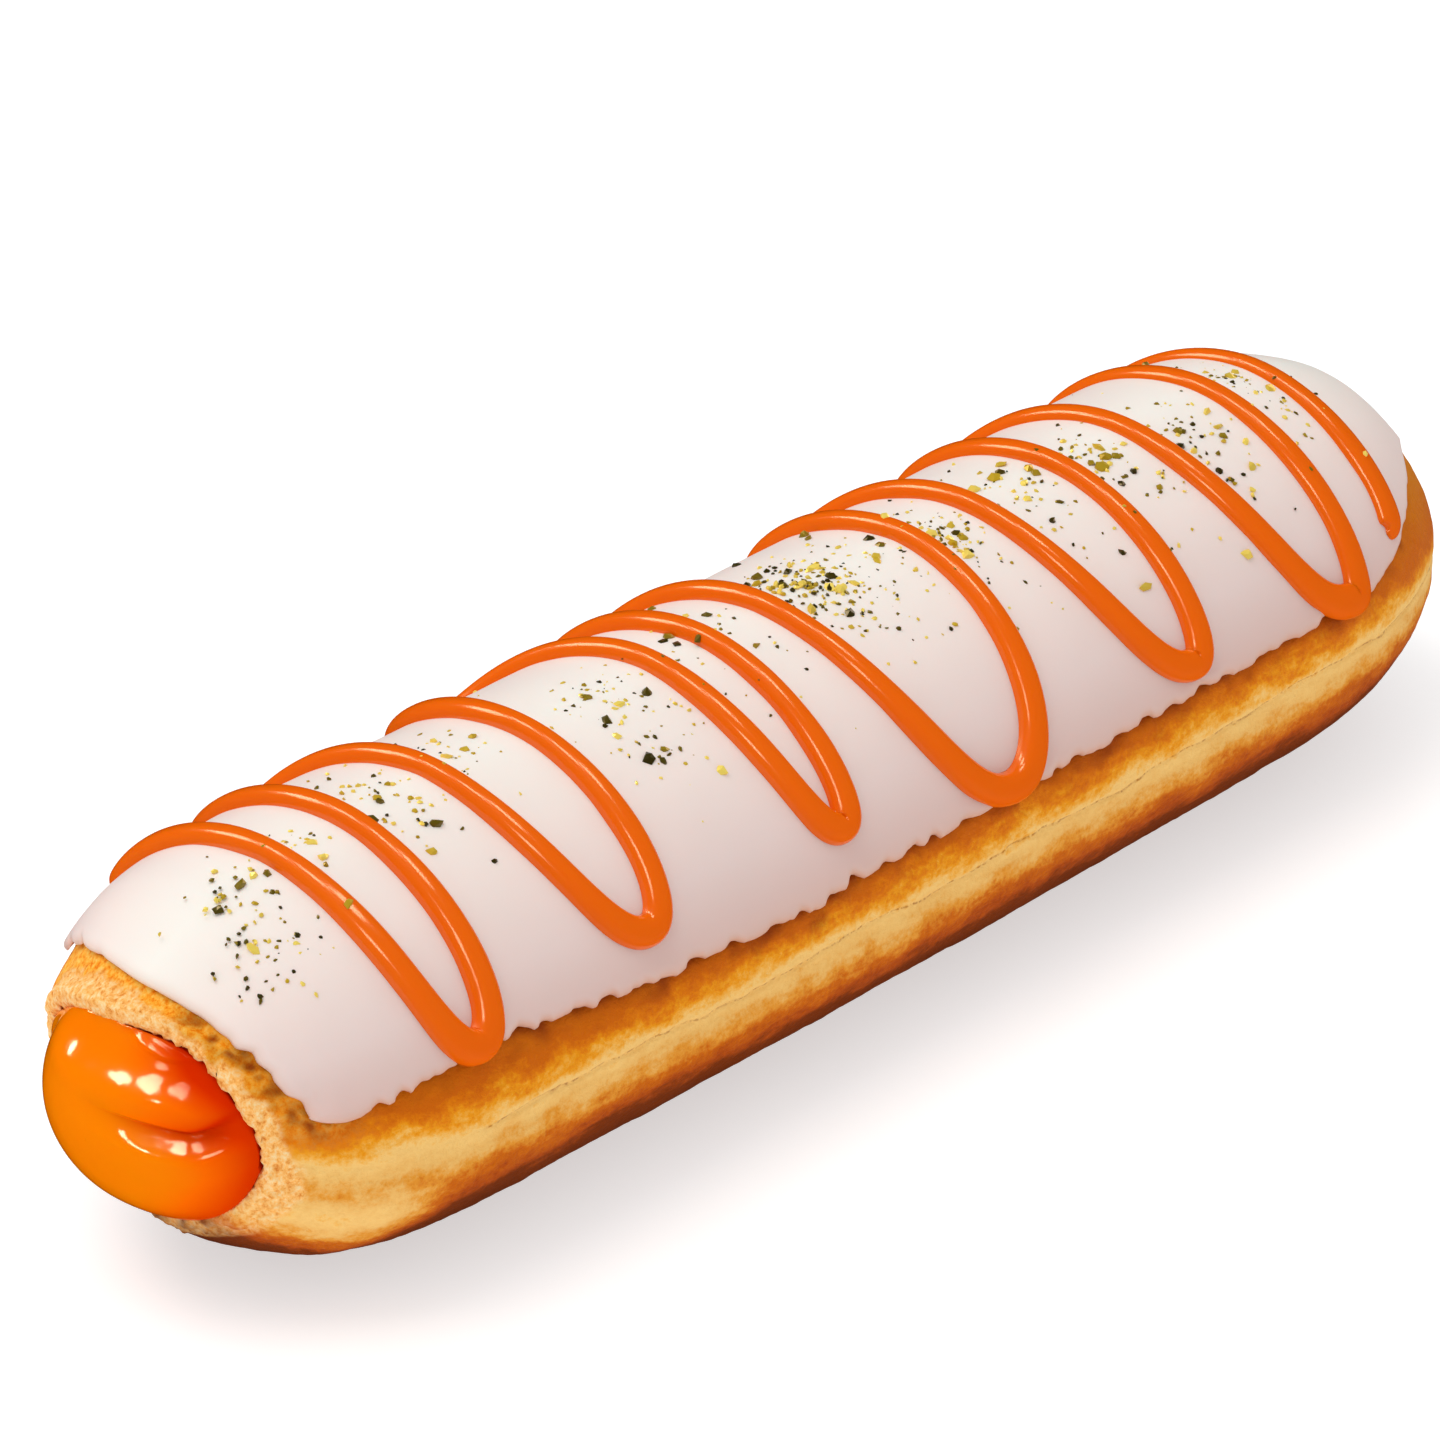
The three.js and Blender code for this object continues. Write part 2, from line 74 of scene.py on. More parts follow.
# The cream and the glaze keep a small gap from the dough. The rest is where the belt's middle lies in the
# shared frame, and how finely the bun is divided round, along, and on its way down the hollow.
GAP = 0.3
BELT_TO_ROW = np.array([2.12, -0.184, 15.5])
ROUND = 384
END_RINGS, LENGTH_RINGS, FACE_RINGS, LIP_RINGS = 54, 260, 90, 8
FUNNEL_STEPS, NOSE_STEPS = 16, 6


def smoothstep(value, low, high):
    """An eased share from 0 at the low value to 1 at the high one."""
    share = np.clip((value - low) / (high - low), 0, 1)
    return share * share * (3 - 2 * share)


def bell(distance, reach):
    """1 in the middle, falling smoothly to about a third at its reach."""
    return np.exp(-((distance / reach) ** 2))


def super_cos(angle, power):
    """A cosine for an oval, which is squarer the higher its power."""
    return np.sign(np.cos(angle)) * np.abs(np.cos(angle)) ** (2 / power)


def super_sin(angle, power):
    """A sine for an oval, which is squarer the higher its power."""
    return np.sign(np.sin(angle)) * np.abs(np.sin(angle)) ** (2 / power)


def drawn_back(y, share):
    """How far the filled end is drawn back on its far side, where it was held to be torn."""
    return SKEW * (np.maximum(0, y / HALF_WIDTH) * share) ** 2


def filled_end_x(y, z):
    """How far along the bun the filled end's face lies at a place across it."""
    rise = np.where(z < 0, BASE, CROWN)
    power = np.where(z < 0, BASE_POWER, CROWN_POWER)
    scale = (np.abs(y / HALF_WIDTH) ** power + np.abs(z / rise) ** power) ** (1 / power)
    share = np.maximum(0, 1 - scale**FILLED_POWER) ** (1 / FILLED_POWER)
    return FILLED_REACH * (1 - share) - LENGTH / 2 + drawn_back(y, share)


def skin(x, angle, out=0.0):
    """The bun's skin and the way it faces. Angle 0 is the near belt and a quarter turn the ridge."""
    x, angle, out = np.broadcast_arrays(np.asarray(x, float), np.asarray(angle, float), out)
    reach = np.where(x < 0, FILLED_REACH, PLAIN_REACH)
    end_power = np.where(x < 0, FILLED_POWER, PLAIN_POWER)
    share = np.maximum(0, np.abs(x) - LENGTH / 2 + reach) / reach
    scale = np.maximum(0, 1 - share**end_power) ** (1 / end_power)
    below = np.sin(angle) < 0
    rise = np.where(below, BASE, CROWN)
    power = np.where(below, BASE_POWER, CROWN_POWER)
    y = -HALF_WIDTH * scale * super_cos(angle, power)
    z = rise * scale * super_sin(angle, power)
    turn_in = share ** (end_power - 1) * np.maximum(scale, 1e-3) ** (1 - end_power)
    steep = np.maximum(scale, 1e-6) ** (power - 1)
    normal = np.stack(
        [
            np.sign(x) * turn_in / reach,
            np.sign(y) * np.abs(y / HALF_WIDTH) ** (power - 1) / steep / HALF_WIDTH,
            np.sign(z) * np.abs(z / rise) ** (power - 1) / steep / rise,
        ],
        -1,
    )
    normal /= np.linalg.norm(normal, axis=-1, keepdims=True)
    inset = INSET_DEPTH * smoothstep(z, INSET_FROM, INSET_TO)
    inset *= smoothstep(LENGTH / 2 - x, INSET_FADE_END, INSET_FADE_START)
    relief = out - WAIST_DEPTH * scale * bell(z, WAIST_REACH) - inset
    sag = -SAG * (1 - (2 * x / LENGTH) ** 2) * (1 - SAG_EASE * np.abs(np.sin(angle)))
    point = np.stack([x, y, z + sag], -1) + normal * relief[..., None]
    point[..., 0] += np.where(x < 0, drawn_back(y, share), 0)
    point[..., 2] = np.maximum(point[..., 2], FLAT)
    return point, normal


# Where the opening was torn wider or narrower than an oval: the share, the angle and its reach
TEARS = [(0.12, 1.15, 0.4), (0.04, 0.35, 0.5), (-0.05, 1.9, 0.45), (-0.06, -0.8, 0.6)]


def torn_open(turn):
    """How much wider than an oval the opening was torn, at an angle round it from the near side."""
    return 1 + sum(share * bell(turn - angle, reach) for share, angle, reach in TEARS)


def hollow_ring(x_at, half_width, half_height, torn_share=0.0):
    """A ring round the mouth or the hollow, an oval that follows the tear by a share."""
    open_by = 1 + (torn_open((round_angles + math.pi) % (2 * math.pi) - math.pi) - 1) * torn_share
    y = MOUTH_Y - half_width * open_by * np.cos(round_angles)
    z = MOUTH_Z + half_height * open_by * np.sin(round_angles)
    return np.stack([x_at(y, z), y, z], -1)


def hollow_rings(inset, first_depth):
    """Rings from the lip down the funnel of the hollow and over its far end."""
    rings = []
    for share in np.linspace(0, 1, FUNNEL_STEPS + 1):
        ease = smoothstep(share, 0, 1)
        width = MOUTH_HALF_WIDTH + (HOLLOW_HALF_WIDTH - MOUTH_HALF_WIDTH) * ease - inset
        height = MOUTH_HALF_HEIGHT + (HOLLOW_HALF_HEIGHT - MOUTH_HALF_HEIGHT) * ease - inset
        x_at = lambda y, z: (filled_end_x(y, z) + first_depth) * (1 - share) + HOLLOW_START * share
        rings.append(hollow_ring(x_at, width, height, 1 - ease))
    for angle in np.linspace(0, math.pi / 2, NOSE_STEPS + 1)[:-1]:
        x = HOLLOW_END - inset - HOLLOW_NOSE * (1 - math.sin(angle))
        width = (HOLLOW_HALF_WIDTH - inset) * math.cos(angle)
        height = (HOLLOW_HALF_HEIGHT - inset) * math.cos(angle)
        rings.append(hollow_ring(lambda y, z: np.full_like(y, x), width, height))
    return rings


def lumps(points, size, seed):
    """Smooth seeded unevenness from -1 to 1, with a swelling about every two sizes."""
    lattice = np.random.default_rng(seed).uniform(-1, 1, (32, 32, 32))
    cell = points / size + 64
    low = np.floor(cell).astype(int)
    share = smoothstep(cell - low, 0, 1)
    total = np.zeros(points.shape[:-1])
    for corner in itertools.product((0, 1), repeat=3):
        weight = np.prod(np.where(corner, share, 1 - share), axis=-1)
        spot = (low + corner) % 32
        total += weight * lattice[spot[..., 0], spot[..., 1], spot[..., 2]]
    return total


def outward(rings):
    """The way each point of a grid of rings faces."""
    along = np.gradient(rings, axis=0)
    across = np.roll(rings, -1, axis=1) - np.roll(rings, 1, axis=1)
    facing = np.cross(along, across)
    return facing / np.maximum(np.linalg.norm(facing, axis=-1, keepdims=True), 1e-9)


def ring_faces(ring_count, per_ring, first=0):
    """The four-sided faces between closed rings."""
    i, j = np.meshgrid(np.arange(ring_count - 1), np.arange(per_ring), indexing="ij")
    here = first + i * per_ring + j
    beside = first + i * per_ring + (j + 1) % per_ring
    return np.stack([here, beside, beside + per_ring, here + per_ring], -1).reshape(-1, 4).tolist()


def add_piece(name, points, faces, material, node, values=None, smooth=True):
    """A piece in the row frame from points in millimetres, with a number a point for each named value."""
    mesh = bpy.data.meshes.new(name)
    mesh.from_pydata(((points + BELT_TO_ROW) / 1000).tolist(), [], faces)
    for key, numbers in (values or {}).items():
        attribute = mesh.attributes.new(key, "FLOAT", "POINT")
        attribute.data.foreach_set("value", np.asarray(numbers, np.float32).ravel())
    mesh.polygons.foreach_set("use_smooth", [smooth] * len(mesh.polygons))
    mesh.materials.append(material)
    mesh.update()
    piece = bpy.data.objects.new(name, mesh)
    bpy.context.scene.collection.objects.link(piece)
    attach(piece, "root")
    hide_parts(node)


def linear(hex_color):
    """An sRGB colour such as "#d08a35" as linear red, green, blue and alpha."""
    channels = [int(hex_color[i : i + 2], 16) / 255 for i in (1, 3, 5)]
    return [c / 12.92 if c <= 0.04045 else ((c + 0.055) / 1.055) ** 2.4 for c in channels] + [1.0]


def new_material(name):
    """A material with its tree of nodes and its shader."""
    material = bpy.data.materials.new(name)
    material.use_nodes = True
    return material, material.node_tree, material.node_tree.nodes["Principled BSDF"]


def add_node(tree, kind, settings=None, **inputs):
    """Adds a node. An input is a value or the output socket that feeds it. In its name _ is a space, and
    in0, in1 and so on are its number. The stops in the settings are a colour ramp's places and colours."""
    node = tree.nodes.new(kind)
    for key, value in (settings or {}).items():
        if key != "stops":
            setattr(node, key, value)
            continue
        elements = node.color_ramp.elements
        elements.remove(elements[1])
        for number, (position, color) in enumerate(value):
            element = elements.new(position) if number else elements[0]
            element.position, element.color = position, linear(color)
    for key, value in inputs.items():
        numbered = key[:2] == "in" and key[2:].isdigit()
        socket = node.inputs[int(key[2:]) if numbered else key.replace("_", " ")]
        if isinstance(value, bpy.types.NodeSocket):
            tree.links.new(value, socket)
        else:
            socket.default_value = value
    return node


def set_inputs(node, **inputs):
    """Sets a node's inputs by name, with _ for a space."""
    for key, value in inputs.items():
        node.inputs[key.replace("_", " ")].default_value = value


# The glaze's edges are here as well, because the crust is browned along them and painted with shade under
# them
GLAZE_START, GLAZE_END, GLAZE_EDGE = -72.3, 68.4, 6.0
NEAR_FRONT_BACK, FAR_FRONT_BACK = 4.5, 9
FAR_LIP_BACK = 1.6


def glaze_bites(x, side):
    """How far the crust bites up into the glaze's lower edge, in small arcs unevenly apart."""
    rng = np.random.default_rng(20 + side)
    spot, bite = -66.0, 0 * x
    while spot < 66:
        height, width = rng.uniform(0.15, 0.65), rng.uniform(0.7, 1.4)
        bite = np.maximum(bite, height * np.clip(1 - ((x - spot) / width) ** 2, 0, 1) ** 0.7)
        spot += rng.uniform(2.4, 5.4)
    return bite


def glaze_edge(x, side):
    """Girth above the belt of the glaze's lower edge, which rises behind the mouth and to both ends."""
    edge = GLAZE_EDGE + 1.7 * bell(x + 54, 13) - 0.5 * bell(x + 19, 5) - 0.25
    edge += 1.3 * np.clip((GLAZE_START + 2.5 - x) / 2.5, 0, 1) ** 2
    edge += 2.4 * (np.maximum(0, x - 51) / 8) ** 2
    along = np.stack([x, 0 * x, 0 * x + 40 * side], -1)
    return edge + glaze_bites(x, side) + 0.1 * lumps(along, 0.7, 21) + 0.16 * lumps(along, 1.9, 22)


def glaze_front(angles):
    """How far along the bun the glaze's front edge lies. Low down it is set back, most on the far side."""
    low = 1 - np.sin(angles)
    return GLAZE_START - 0.1 + np.where(angles < math.pi / 2, NEAR_FRONT_BACK, FAR_FRONT_BACK) * low


def far_lip_back(y, z):
    """How far back the torn end lies low down on its far side."""
    return FAR_LIP_BACK * smoothstep(y, -4, 7) * smoothstep(5 - z, 0, 12)


round_turn = np.arange(ROUND) / ROUND * 2 * math.pi
round_angles = round_turn - 0.25 * np.sin(2 * round_turn)

# Rings from the plain end to the filled one, round the torn lip and down the hollow. Over the filled end
# they turn from the bun's section into the mouth's.
FACE_TURN = 0.68 * math.pi / 2
rings = []
for angle in np.linspace(math.pi / 2, 0, END_RINGS + 2)[1:-1]:
    rings.append(skin(LENGTH / 2 - PLAIN_REACH * (1 - super_sin(angle, PLAIN_POWER)), round_angles)[0])
for x in np.linspace(LENGTH / 2 - PLAIN_REACH, FILLED_REACH - LENGTH / 2, LENGTH_RINGS):
    rings.append(skin(x, round_angles)[0])
for share in np.linspace(0, 1, FACE_RINGS + 1)[1:]:
    x = FILLED_REACH * (1 - super_sin(share * FACE_TURN, FILLED_POWER)) - LENGTH / 2
    mouth = hollow_ring(filled_end_x, MOUTH_HALF_WIDTH + LIP, MOUTH_HALF_HEIGHT + LIP, 1)
    blend = smoothstep(share, 0.45, 1)
    rings.append(skin(x, round_angles)[0] * (1 - blend) + mouth * blend)
for angle in np.linspace(0, math.pi / 2, LIP_RINGS + 2)[1:-1]:
    ease, depth = LIP * (1 - math.sin(angle)), LIP * (1 - math.cos(angle))
    lip_x = lambda y, z: filled_end_x(y, z) + depth
    rings.append(hollow_ring(lip_x, MOUTH_HALF_WIDTH + ease, MOUTH_HALF_HEIGHT + ease, 1))
skin_ring_count = len(rings)
rings = np.array(rings + hollow_rings(0, LIP))

# Over the torn face and the lip the rings are spaced evenly, and a little closer towards the mouth
lip_order = np.arange(len(rings))[:, None] * np.ones(ROUND)
face = slice(END_RINGS + LENGTH_RINGS, skin_ring_count + 1)
for j in range(ROUND):
    line = rings[face, j]
    run = np.append(0, np.cumsum(np.linalg.norm(np.diff(line, axis=0), axis=1)))
    even = run[-1] * (1 - (1 - np.linspace(0, 1, len(line))) ** 1.4)
    rings[face, j] = np.stack([np.interp(even, run, line[:, k]) for k in range(3)], -1)
    lip_order[face, j] = np.interp(even, run, lip_order[face, j])
rings[..., 0] += far_lip_back(rings[..., 1], rings[..., 2]) * smoothstep(-rings[..., 0], 60, 70)
facing = -outward(rings)

# How far above the belt a point lies round the section, and how far out it lies from the mouth's edge
climb = np.arcsin(np.clip(np.sin(round_angles), -1, 1)) * np.ones((len(rings), 1))
girth = SIDE_ARC * climb / (math.pi / 2)
across, up = rings[..., 1] - MOUTH_Y, rings[..., 2] - MOUTH_Z
mouth_share = np.hypot(across / MOUTH_HALF_WIDTH, up / MOUTH_HALF_HEIGHT)
from_mouth = np.hypot(across, up) * (1 - 1 / np.maximum(mouth_share, 1e-3))
on_face = smoothstep(-rings[..., 0], 55, 64)
inside = (lip_order >= skin_ring_count).astype(float)
on_lip = smoothstep(lip_order, skin_ring_count - 14, skin_ring_count - 2) * (1 - inside) + inside

# Open crumb shows for a few millimetres round the mouth, and beyond it the crust was torn as well
CRUMB_REACH = 2.5
ragged = lumps(rings, 0.8, 1) + 0.7 * lumps(rings, 0.4, 2)
round_mouth = np.arctan2(up / MOUTH_HALF_HEIGHT, -across / MOUTH_HALF_WIDTH)
crumb_reach = CRUMB_REACH + 0.65 * bell(round_mouth + 0.2, 0.4)
crumb_reach += 0.35 * lumps(rings, 1.1, 3) + 0.2 * lumps(rings, 0.6, 13)
crumb = np.maximum(on_face * smoothstep(crumb_reach - from_mouth, -0.3, 0.3), inside)
torn = on_face * (1 - crumb) * smoothstep(climb, 0.1, 0.5) * smoothstep(-rings[..., 0], 64, 69)
wrinkled = torn * smoothstep(-across, 0, 12)

# The crust is faintly lumpy, rippled at the belt, ragged at the crumb and wrinkled where it was torn. The
# lumps are given by how much they stand out, their size and their seed.
CRUST_LUMPS = [(0.14, 7, 4), (0.07, 2.2, 5), (0.04, 0.7, 6)]
relief = sum(amount * lumps(rings, size, seed) for amount, size, seed in CRUST_LUMPS)
relief += 0.07 * lumps(rings * [0.2, 1, 1], 0.9, 10) * bell(girth, 4)
relief += 0.2 * ragged * crumb * (1 - inside) * (1 - 0.8 * on_lip)
relief += (0.12 + 0.35 * wrinkled) * torn * lumps(rings * [1, 0.8, 1.5], 0.9, 7)

# It stands up before the glaze's front edge, and more so at the far upper corner
FRONT_RISE, CORNER_RISE = 0.6, 0.9
before_glaze = glaze_front(climb) - rings[..., 0]
front_rise = smoothstep(before_glaze, -0.2, 1.2) * smoothstep(rings[..., 2], 2.5, 7) * (1 - on_lip)
relief += FRONT_RISE * front_rise
far_corner = smoothstep(across, 0, 6) * smoothstep(up, 0, 5) * smoothstep(-rings[..., 0], 61, 68)
relief += CORNER_RISE * far_corner * smoothstep(from_mouth, 1, 3) * smoothstep(before_glaze, 0.2, 1.4)

# A fine crack wanders along the belt, where the dough was still growing when its sides had set
CRACK_DEPTH, CRACK_REACH = 0.15, 0.3
crack_at = 0.5 + 0.45 * lumps(rings * [1, 0, 0], 5, 8) + 0.12 * lumps(rings * [1, 0, 0], 1.1, 11)
from_crack = girth - crack_at
from_crack += 20 * np.sign(from_crack) * on_face
relief -= CRACK_DEPTH * bell(from_crack, CRACK_REACH)
relief *= 1 - smoothstep(lip_order, skin_ring_count - 4, skin_ring_count + 3)
rings += facing * relief[..., None]

# Teeth of crumb stick out from the lip towards the middle of the mouth
TOOTH_LENGTH = 0.9
teeth = TOOTH_LENGTH * np.clip(lumps(rings * [0.3, 1, 1], 0.5, 12), 0, 1) * on_lip
teeth *= 1 - smoothstep(lip_order, skin_ring_count, skin_ring_count + 4)
rings[..., 1] -= teeth * across / 11
rings[..., 2] -= teeth * up / 9
rings[..., 2] = np.maximum(rings[..., 2], FLAT)

# The crust is darkest in the bites under the glaze and just below its lower edge, where scorched crust is
# painted with the shade under the glaze, and it is darkened in uneven specks along the glaze's front edge
near_side = rings[..., 1] < 0
edge_above = np.where(near_side, glaze_edge(rings[..., 0], 0), glaze_edge(rings[..., 0], 1))
bites = np.where(near_side, glaze_bites(rings[..., 0], 0), glaze_bites(rings[..., 0], 1))
scorch_and_shade = bell(girth - edge_above, 0.6 + 0.4 * bites) * (0.25 + 1.2 * bites)
scorch_and_shade += 0.7 * bell(girth - edge_above + 0.9, 1.1) * np.clip(lumps(rings, 1.3, 15), 0, 1)
scorch_and_shade *= (1 - on_face) * smoothstep(GLAZE_END - rings[..., 0], 0, 4)
front_scorch = bell(before_glaze - 0.1, 0.8) * smoothstep(-across, 2, 8)
front_scorch *= smoothstep(climb, 0.1, 0.4) * on_face
scorch_and_shade += front_scorch * np.clip(0.35 + 1.3 * lumps(rings, 0.8, 14), 0, 1)

end_points = [[LENGTH / 2, 0, 0], [HOLLOW_END, MOUTH_Y, MOUTH_Z]]
dough_points = np.concatenate([rings.reshape(-1, 3), end_points])
dough_faces = ring_faces(len(rings), ROUND)
tip, hollow_end = len(dough_points) - 2, len(dough_points) - 1
last = (len(rings) - 1) * ROUND
for j in range(ROUND):
    following = (j + 1) % ROUND
    dough_faces += [(tip, following, j), (hollow_end, last + j, last + following)]

# Fried crust: golden brown sugar and starch, dull with a little oil, over pale crumb. The colour follows the
# girth: pale at the belt, browned above and below it, and darkest low down and just under the glaze, where
# the browning is deepened with painted shade.
# It is in patches of 4 mm and in 1 mm streaks drawn out along the belt. The real grain, of about 0.2 mm,
# is drawn at 0.5 mm so that it shows. Each shifts the browning by so many millimetres of girth.
PATCHES, PATCH_SHIFT = 4.167, 4.6
STREAKS, STREAK_SHIFT, STREAK_PULL = 1.111, 3.6, (0.3, 1, 1)
GRAIN, GRAIN_SHIFT = 0.5263, 3.6
fried_crust, tree, shader = new_material("fried_dough_crust")
place = add_node(tree, "ShaderNodeNewGeometry").outputs["Position"]
girth_value = add_node(tree, "ShaderNodeAttribute", {"attribute_name": "girth"}).outputs["Fac"]
crumb_value = add_node(tree, "ShaderNodeAttribute", {"attribute_name": "crumb"}).outputs["Fac"]
torn_value = add_node(tree, "ShaderNodeAttribute", {"attribute_name": "torn"}).outputs["Fac"]
dark_value = add_node(tree, "ShaderNodeAttribute", {"attribute_name": "dark"}).outputs["Fac"]
crack_value = add_node(tree, "ShaderNodeAttribute", {"attribute_name": "crack"}).outputs["Fac"]
multiply = {"operation": "MULTIPLY"}
multiply_add = {"operation": "MULTIPLY_ADD"}
drawn_out = add_node(tree, "ShaderNodeVectorMath", multiply, in0=place, in1=STREAK_PULL).outputs[0]
patches = add_node(tree, "ShaderNodeTexNoise", Vector=place, Scale=1000 / PATCHES, Detail=4.0)
streaks = add_node(tree, "ShaderNodeTexNoise", Vector=drawn_out, Scale=1000 / STREAKS, Detail=3.0)
grain = add_node(tree, "ShaderNodeTexNoise", Vector=place, Scale=1000 / GRAIN, Detail=3.0, Roughness=0.7)
patches, streaks, grain = patches.outputs["Fac"], streaks.outputs["Fac"], grain.outputs["Fac"]
level = {"in0": patches, "in1": PATCH_SHIFT, "in2": girth_value}
level = add_node(tree, "ShaderNodeMath", multiply_add, **level).outputs[0]
level = add_node(tree, "ShaderNodeMath", multiply_add, in0=streaks, in1=STREAK_SHIFT, in2=level).outputs[0]
level = add_node(tree, "ShaderNodeMath", multiply_add, in0=grain, in1=GRAIN_SHIFT, in2=level).outputs[0]

# The browning by girth, in millimetres from the belt. Its darkest colours, low down, are partly painted
# shade.
BAKE_START, BAKE_SPAN = -16, 32
BAKE_AND_SHADE = [
    (-14, "#6c2a00"),
    (-8, "#823400"),
    (-6, "#b64c00"),
    (-4, "#d26a00"),
    (-2.6, "#e99a30"),
    (-1.2, "#f2bb66"),
    (0.8, "#f9ca78"),
    (1.8, "#f6b44c"),
    (2.7, "#f09a10"),
    (3.8, "#e27a00"),
    (5, "#d26600"),
    (15, "#dc8400"),
]
bake_and_shade_stops = [((girth_mm - BAKE_START) / BAKE_SPAN, color) for girth_mm, color in BAKE_AND_SHADE]
bake_shift = (-BAKE_START - (PATCH_SHIFT + STREAK_SHIFT + GRAIN_SHIFT) / 2) / BAKE_SPAN
level = {"in0": level, "in1": 1 / BAKE_SPAN, "in2": bake_shift}
level = add_node(tree, "ShaderNodeMath", multiply_add, **level).outputs[0]
torn_stops = [(0.34, "#f07c00"), (0.48, "#ffac30"), (0.66, "#ffcc60")]
crumb_stops = [(0.3, "#e08430"), (0.47, "#ffbc64"), (0.65, "#ffdca0")]
crust_color = add_node(tree, "ShaderNodeValToRGB", {"stops": bake_and_shade_stops}, Fac=level).outputs["Color"]
torn_color = add_node(tree, "ShaderNodeValToRGB", {"stops": torn_stops}, Fac=grain).outputs["Color"]
crumb_color = add_node(tree, "ShaderNodeValToRGB", {"stops": crumb_stops}, Fac=grain).outputs["Color"]

# The crack is a line a third of a millimetre wide that wavers with the streaks and breaks up with the grain.
# Its dark colour is painted shade in the groove.
CRACK_WAVER = 1.2
wavering = {"in0": streaks, "in1": CRACK_WAVER, "in2": crack_value}
wavering = add_node(tree, "ShaderNodeMath", multiply_add, **wavering).outputs[0]
subtract = {"operation": "SUBTRACT"}
wavering = add_node(tree, "ShaderNodeMath", subtract, in0=wavering, in1=CRACK_WAVER / 2).outputs[0]
off_crack = add_node(tree, "ShaderNodeMath", {"operation": "ABSOLUTE"}, in0=wavering).outputs[0]
line = {"From_Min": 0.02, "From_Max": 0.18, "To_Min": 1.0, "To_Max": 0.0}
line = add_node(tree, "ShaderNodeMapRange", Value=off_crack, **line).outputs["Result"]
broken = {"From_Min": 0.42, "From_Max": 0.62, "To_Min": 0.0, "To_Max": 0.6}
broken = add_node(tree, "ShaderNodeMapRange", Value=grain, **broken).outputs["Result"]
crack_dark = add_node(tree, "ShaderNodeMath", multiply, in0=line, in1=broken).outputs[0]
darkest = {"operation": "MAXIMUM"}
darkness = add_node(tree, "ShaderNodeMath", darkest, in0=dark_value, in1=crack_dark).outputs[0]
mix = {"data_type": "RGBA"}
skin_color = add_node(tree, "ShaderNodeMix", mix, in0=torn_value, in6=crust_color, in7=torn_color)
skin_color = skin_color.outputs[2]
open_color = add_node(tree, "ShaderNodeMix", mix, in0=crumb_value, in6=skin_color, in7=crumb_color)
open_color = open_color.outputs[2]
# One dark colour for the scorched crust, the painted shade under the glaze and the crack's painted shade
scorch_and_shade_color = linear("#8a3000")
dough_color = add_node(tree, "ShaderNodeMix", mix, in0=darkness, in6=open_color, in7=scorch_and_shade_color)
tree.links.new(dough_color.outputs[2], shader.inputs["Base Color"])
skin_bump = add_node(tree, "ShaderNodeBump", Strength=0.6, Distance=0.0003, Height=grain)
tree.links.new(skin_bump.outputs["Normal"], shader.inputs["Normal"])
set_inputs(shader, Roughness=0.6, Specular_IOR_Level=0.1)

# Low down at the filled end the crust is lighter than along the bun, and the lip's crumb is browned
low_lip = smoothstep(-climb, 0.1, 0.8) * on_face
browned_girth = girth + 9 * smoothstep(-rings[..., 0], 54, 68) * smoothstep(-girth, 2, 8)
add_piece(
    "bun", dough_points, dough_faces, fried_crust, "dough",
    {
        "girth": np.append(browned_girth, [0, 0]),
        "crumb": np.append(crumb * (1 - (0.6 + 0.3 * ragged) * low_lip), [0, 1]),
        "torn": np.append(torn * (1 - 0.5 * wrinkled), [0, 0]),
        "dark": np.append(np.clip(scorch_and_shade, 0, 0.9) * (1 - crumb), [0, 0]),
        "crack": np.append(from_crack, [9, 9]),
    },
)

# ---------------------------------------------------------------- The filling
# Orange pastry cream, thick and glossy. It was piped in at the torn end until it swelled out over the lip
# in three soft coils that lie on each other.

# The swirl is an oval ball in the mouth. Its crease, shoulder and rim are heights above its middle.
SWIRL = np.array([-69.4, 0.6, 0.2])
SWIRL_FRONT, SWIRL_FAR, SWIRL_NEAR, SWIRL_TOP, SWIRL_BOTTOM = 9.1, 11.0, 13.6, 9.9, 9.2
SWIRL_RINGS, SWIRL_ROUND_BACK = 199, math.radians(118)
CREASE_HEIGHT, CREASE_DEPTH = 2.2, 1.7
LEDGE_BELOW, LEDGE_OUT = 2.6, 0.3
SHOULDER_FROM, SHOULDER_TO, SHOULDER_IN, SHOULDER_OUT = 4.4, 6.9, 0.9, 0.3
RIM_HEIGHT, RIM_DEPTH = 7.1, 0.5


def lower_crease(turn, height):
    """Height above the crease between the lower two coils, and how strongly it shows. Turn 0 is the front
    of the swirl and 90 degrees the near side, where the crease climbs and is deepest."""
    climb = 0.7 * bell(turn + 5, 22) + 1.9 * smoothstep(turn, 40, 75) + 1.2 * smoothstep(turn, 75, 140)
    return height - CREASE_HEIGHT - climb, smoothstep(turn, -12, 32) * (1 - 0.3 * smoothstep(turn, 110, 170))


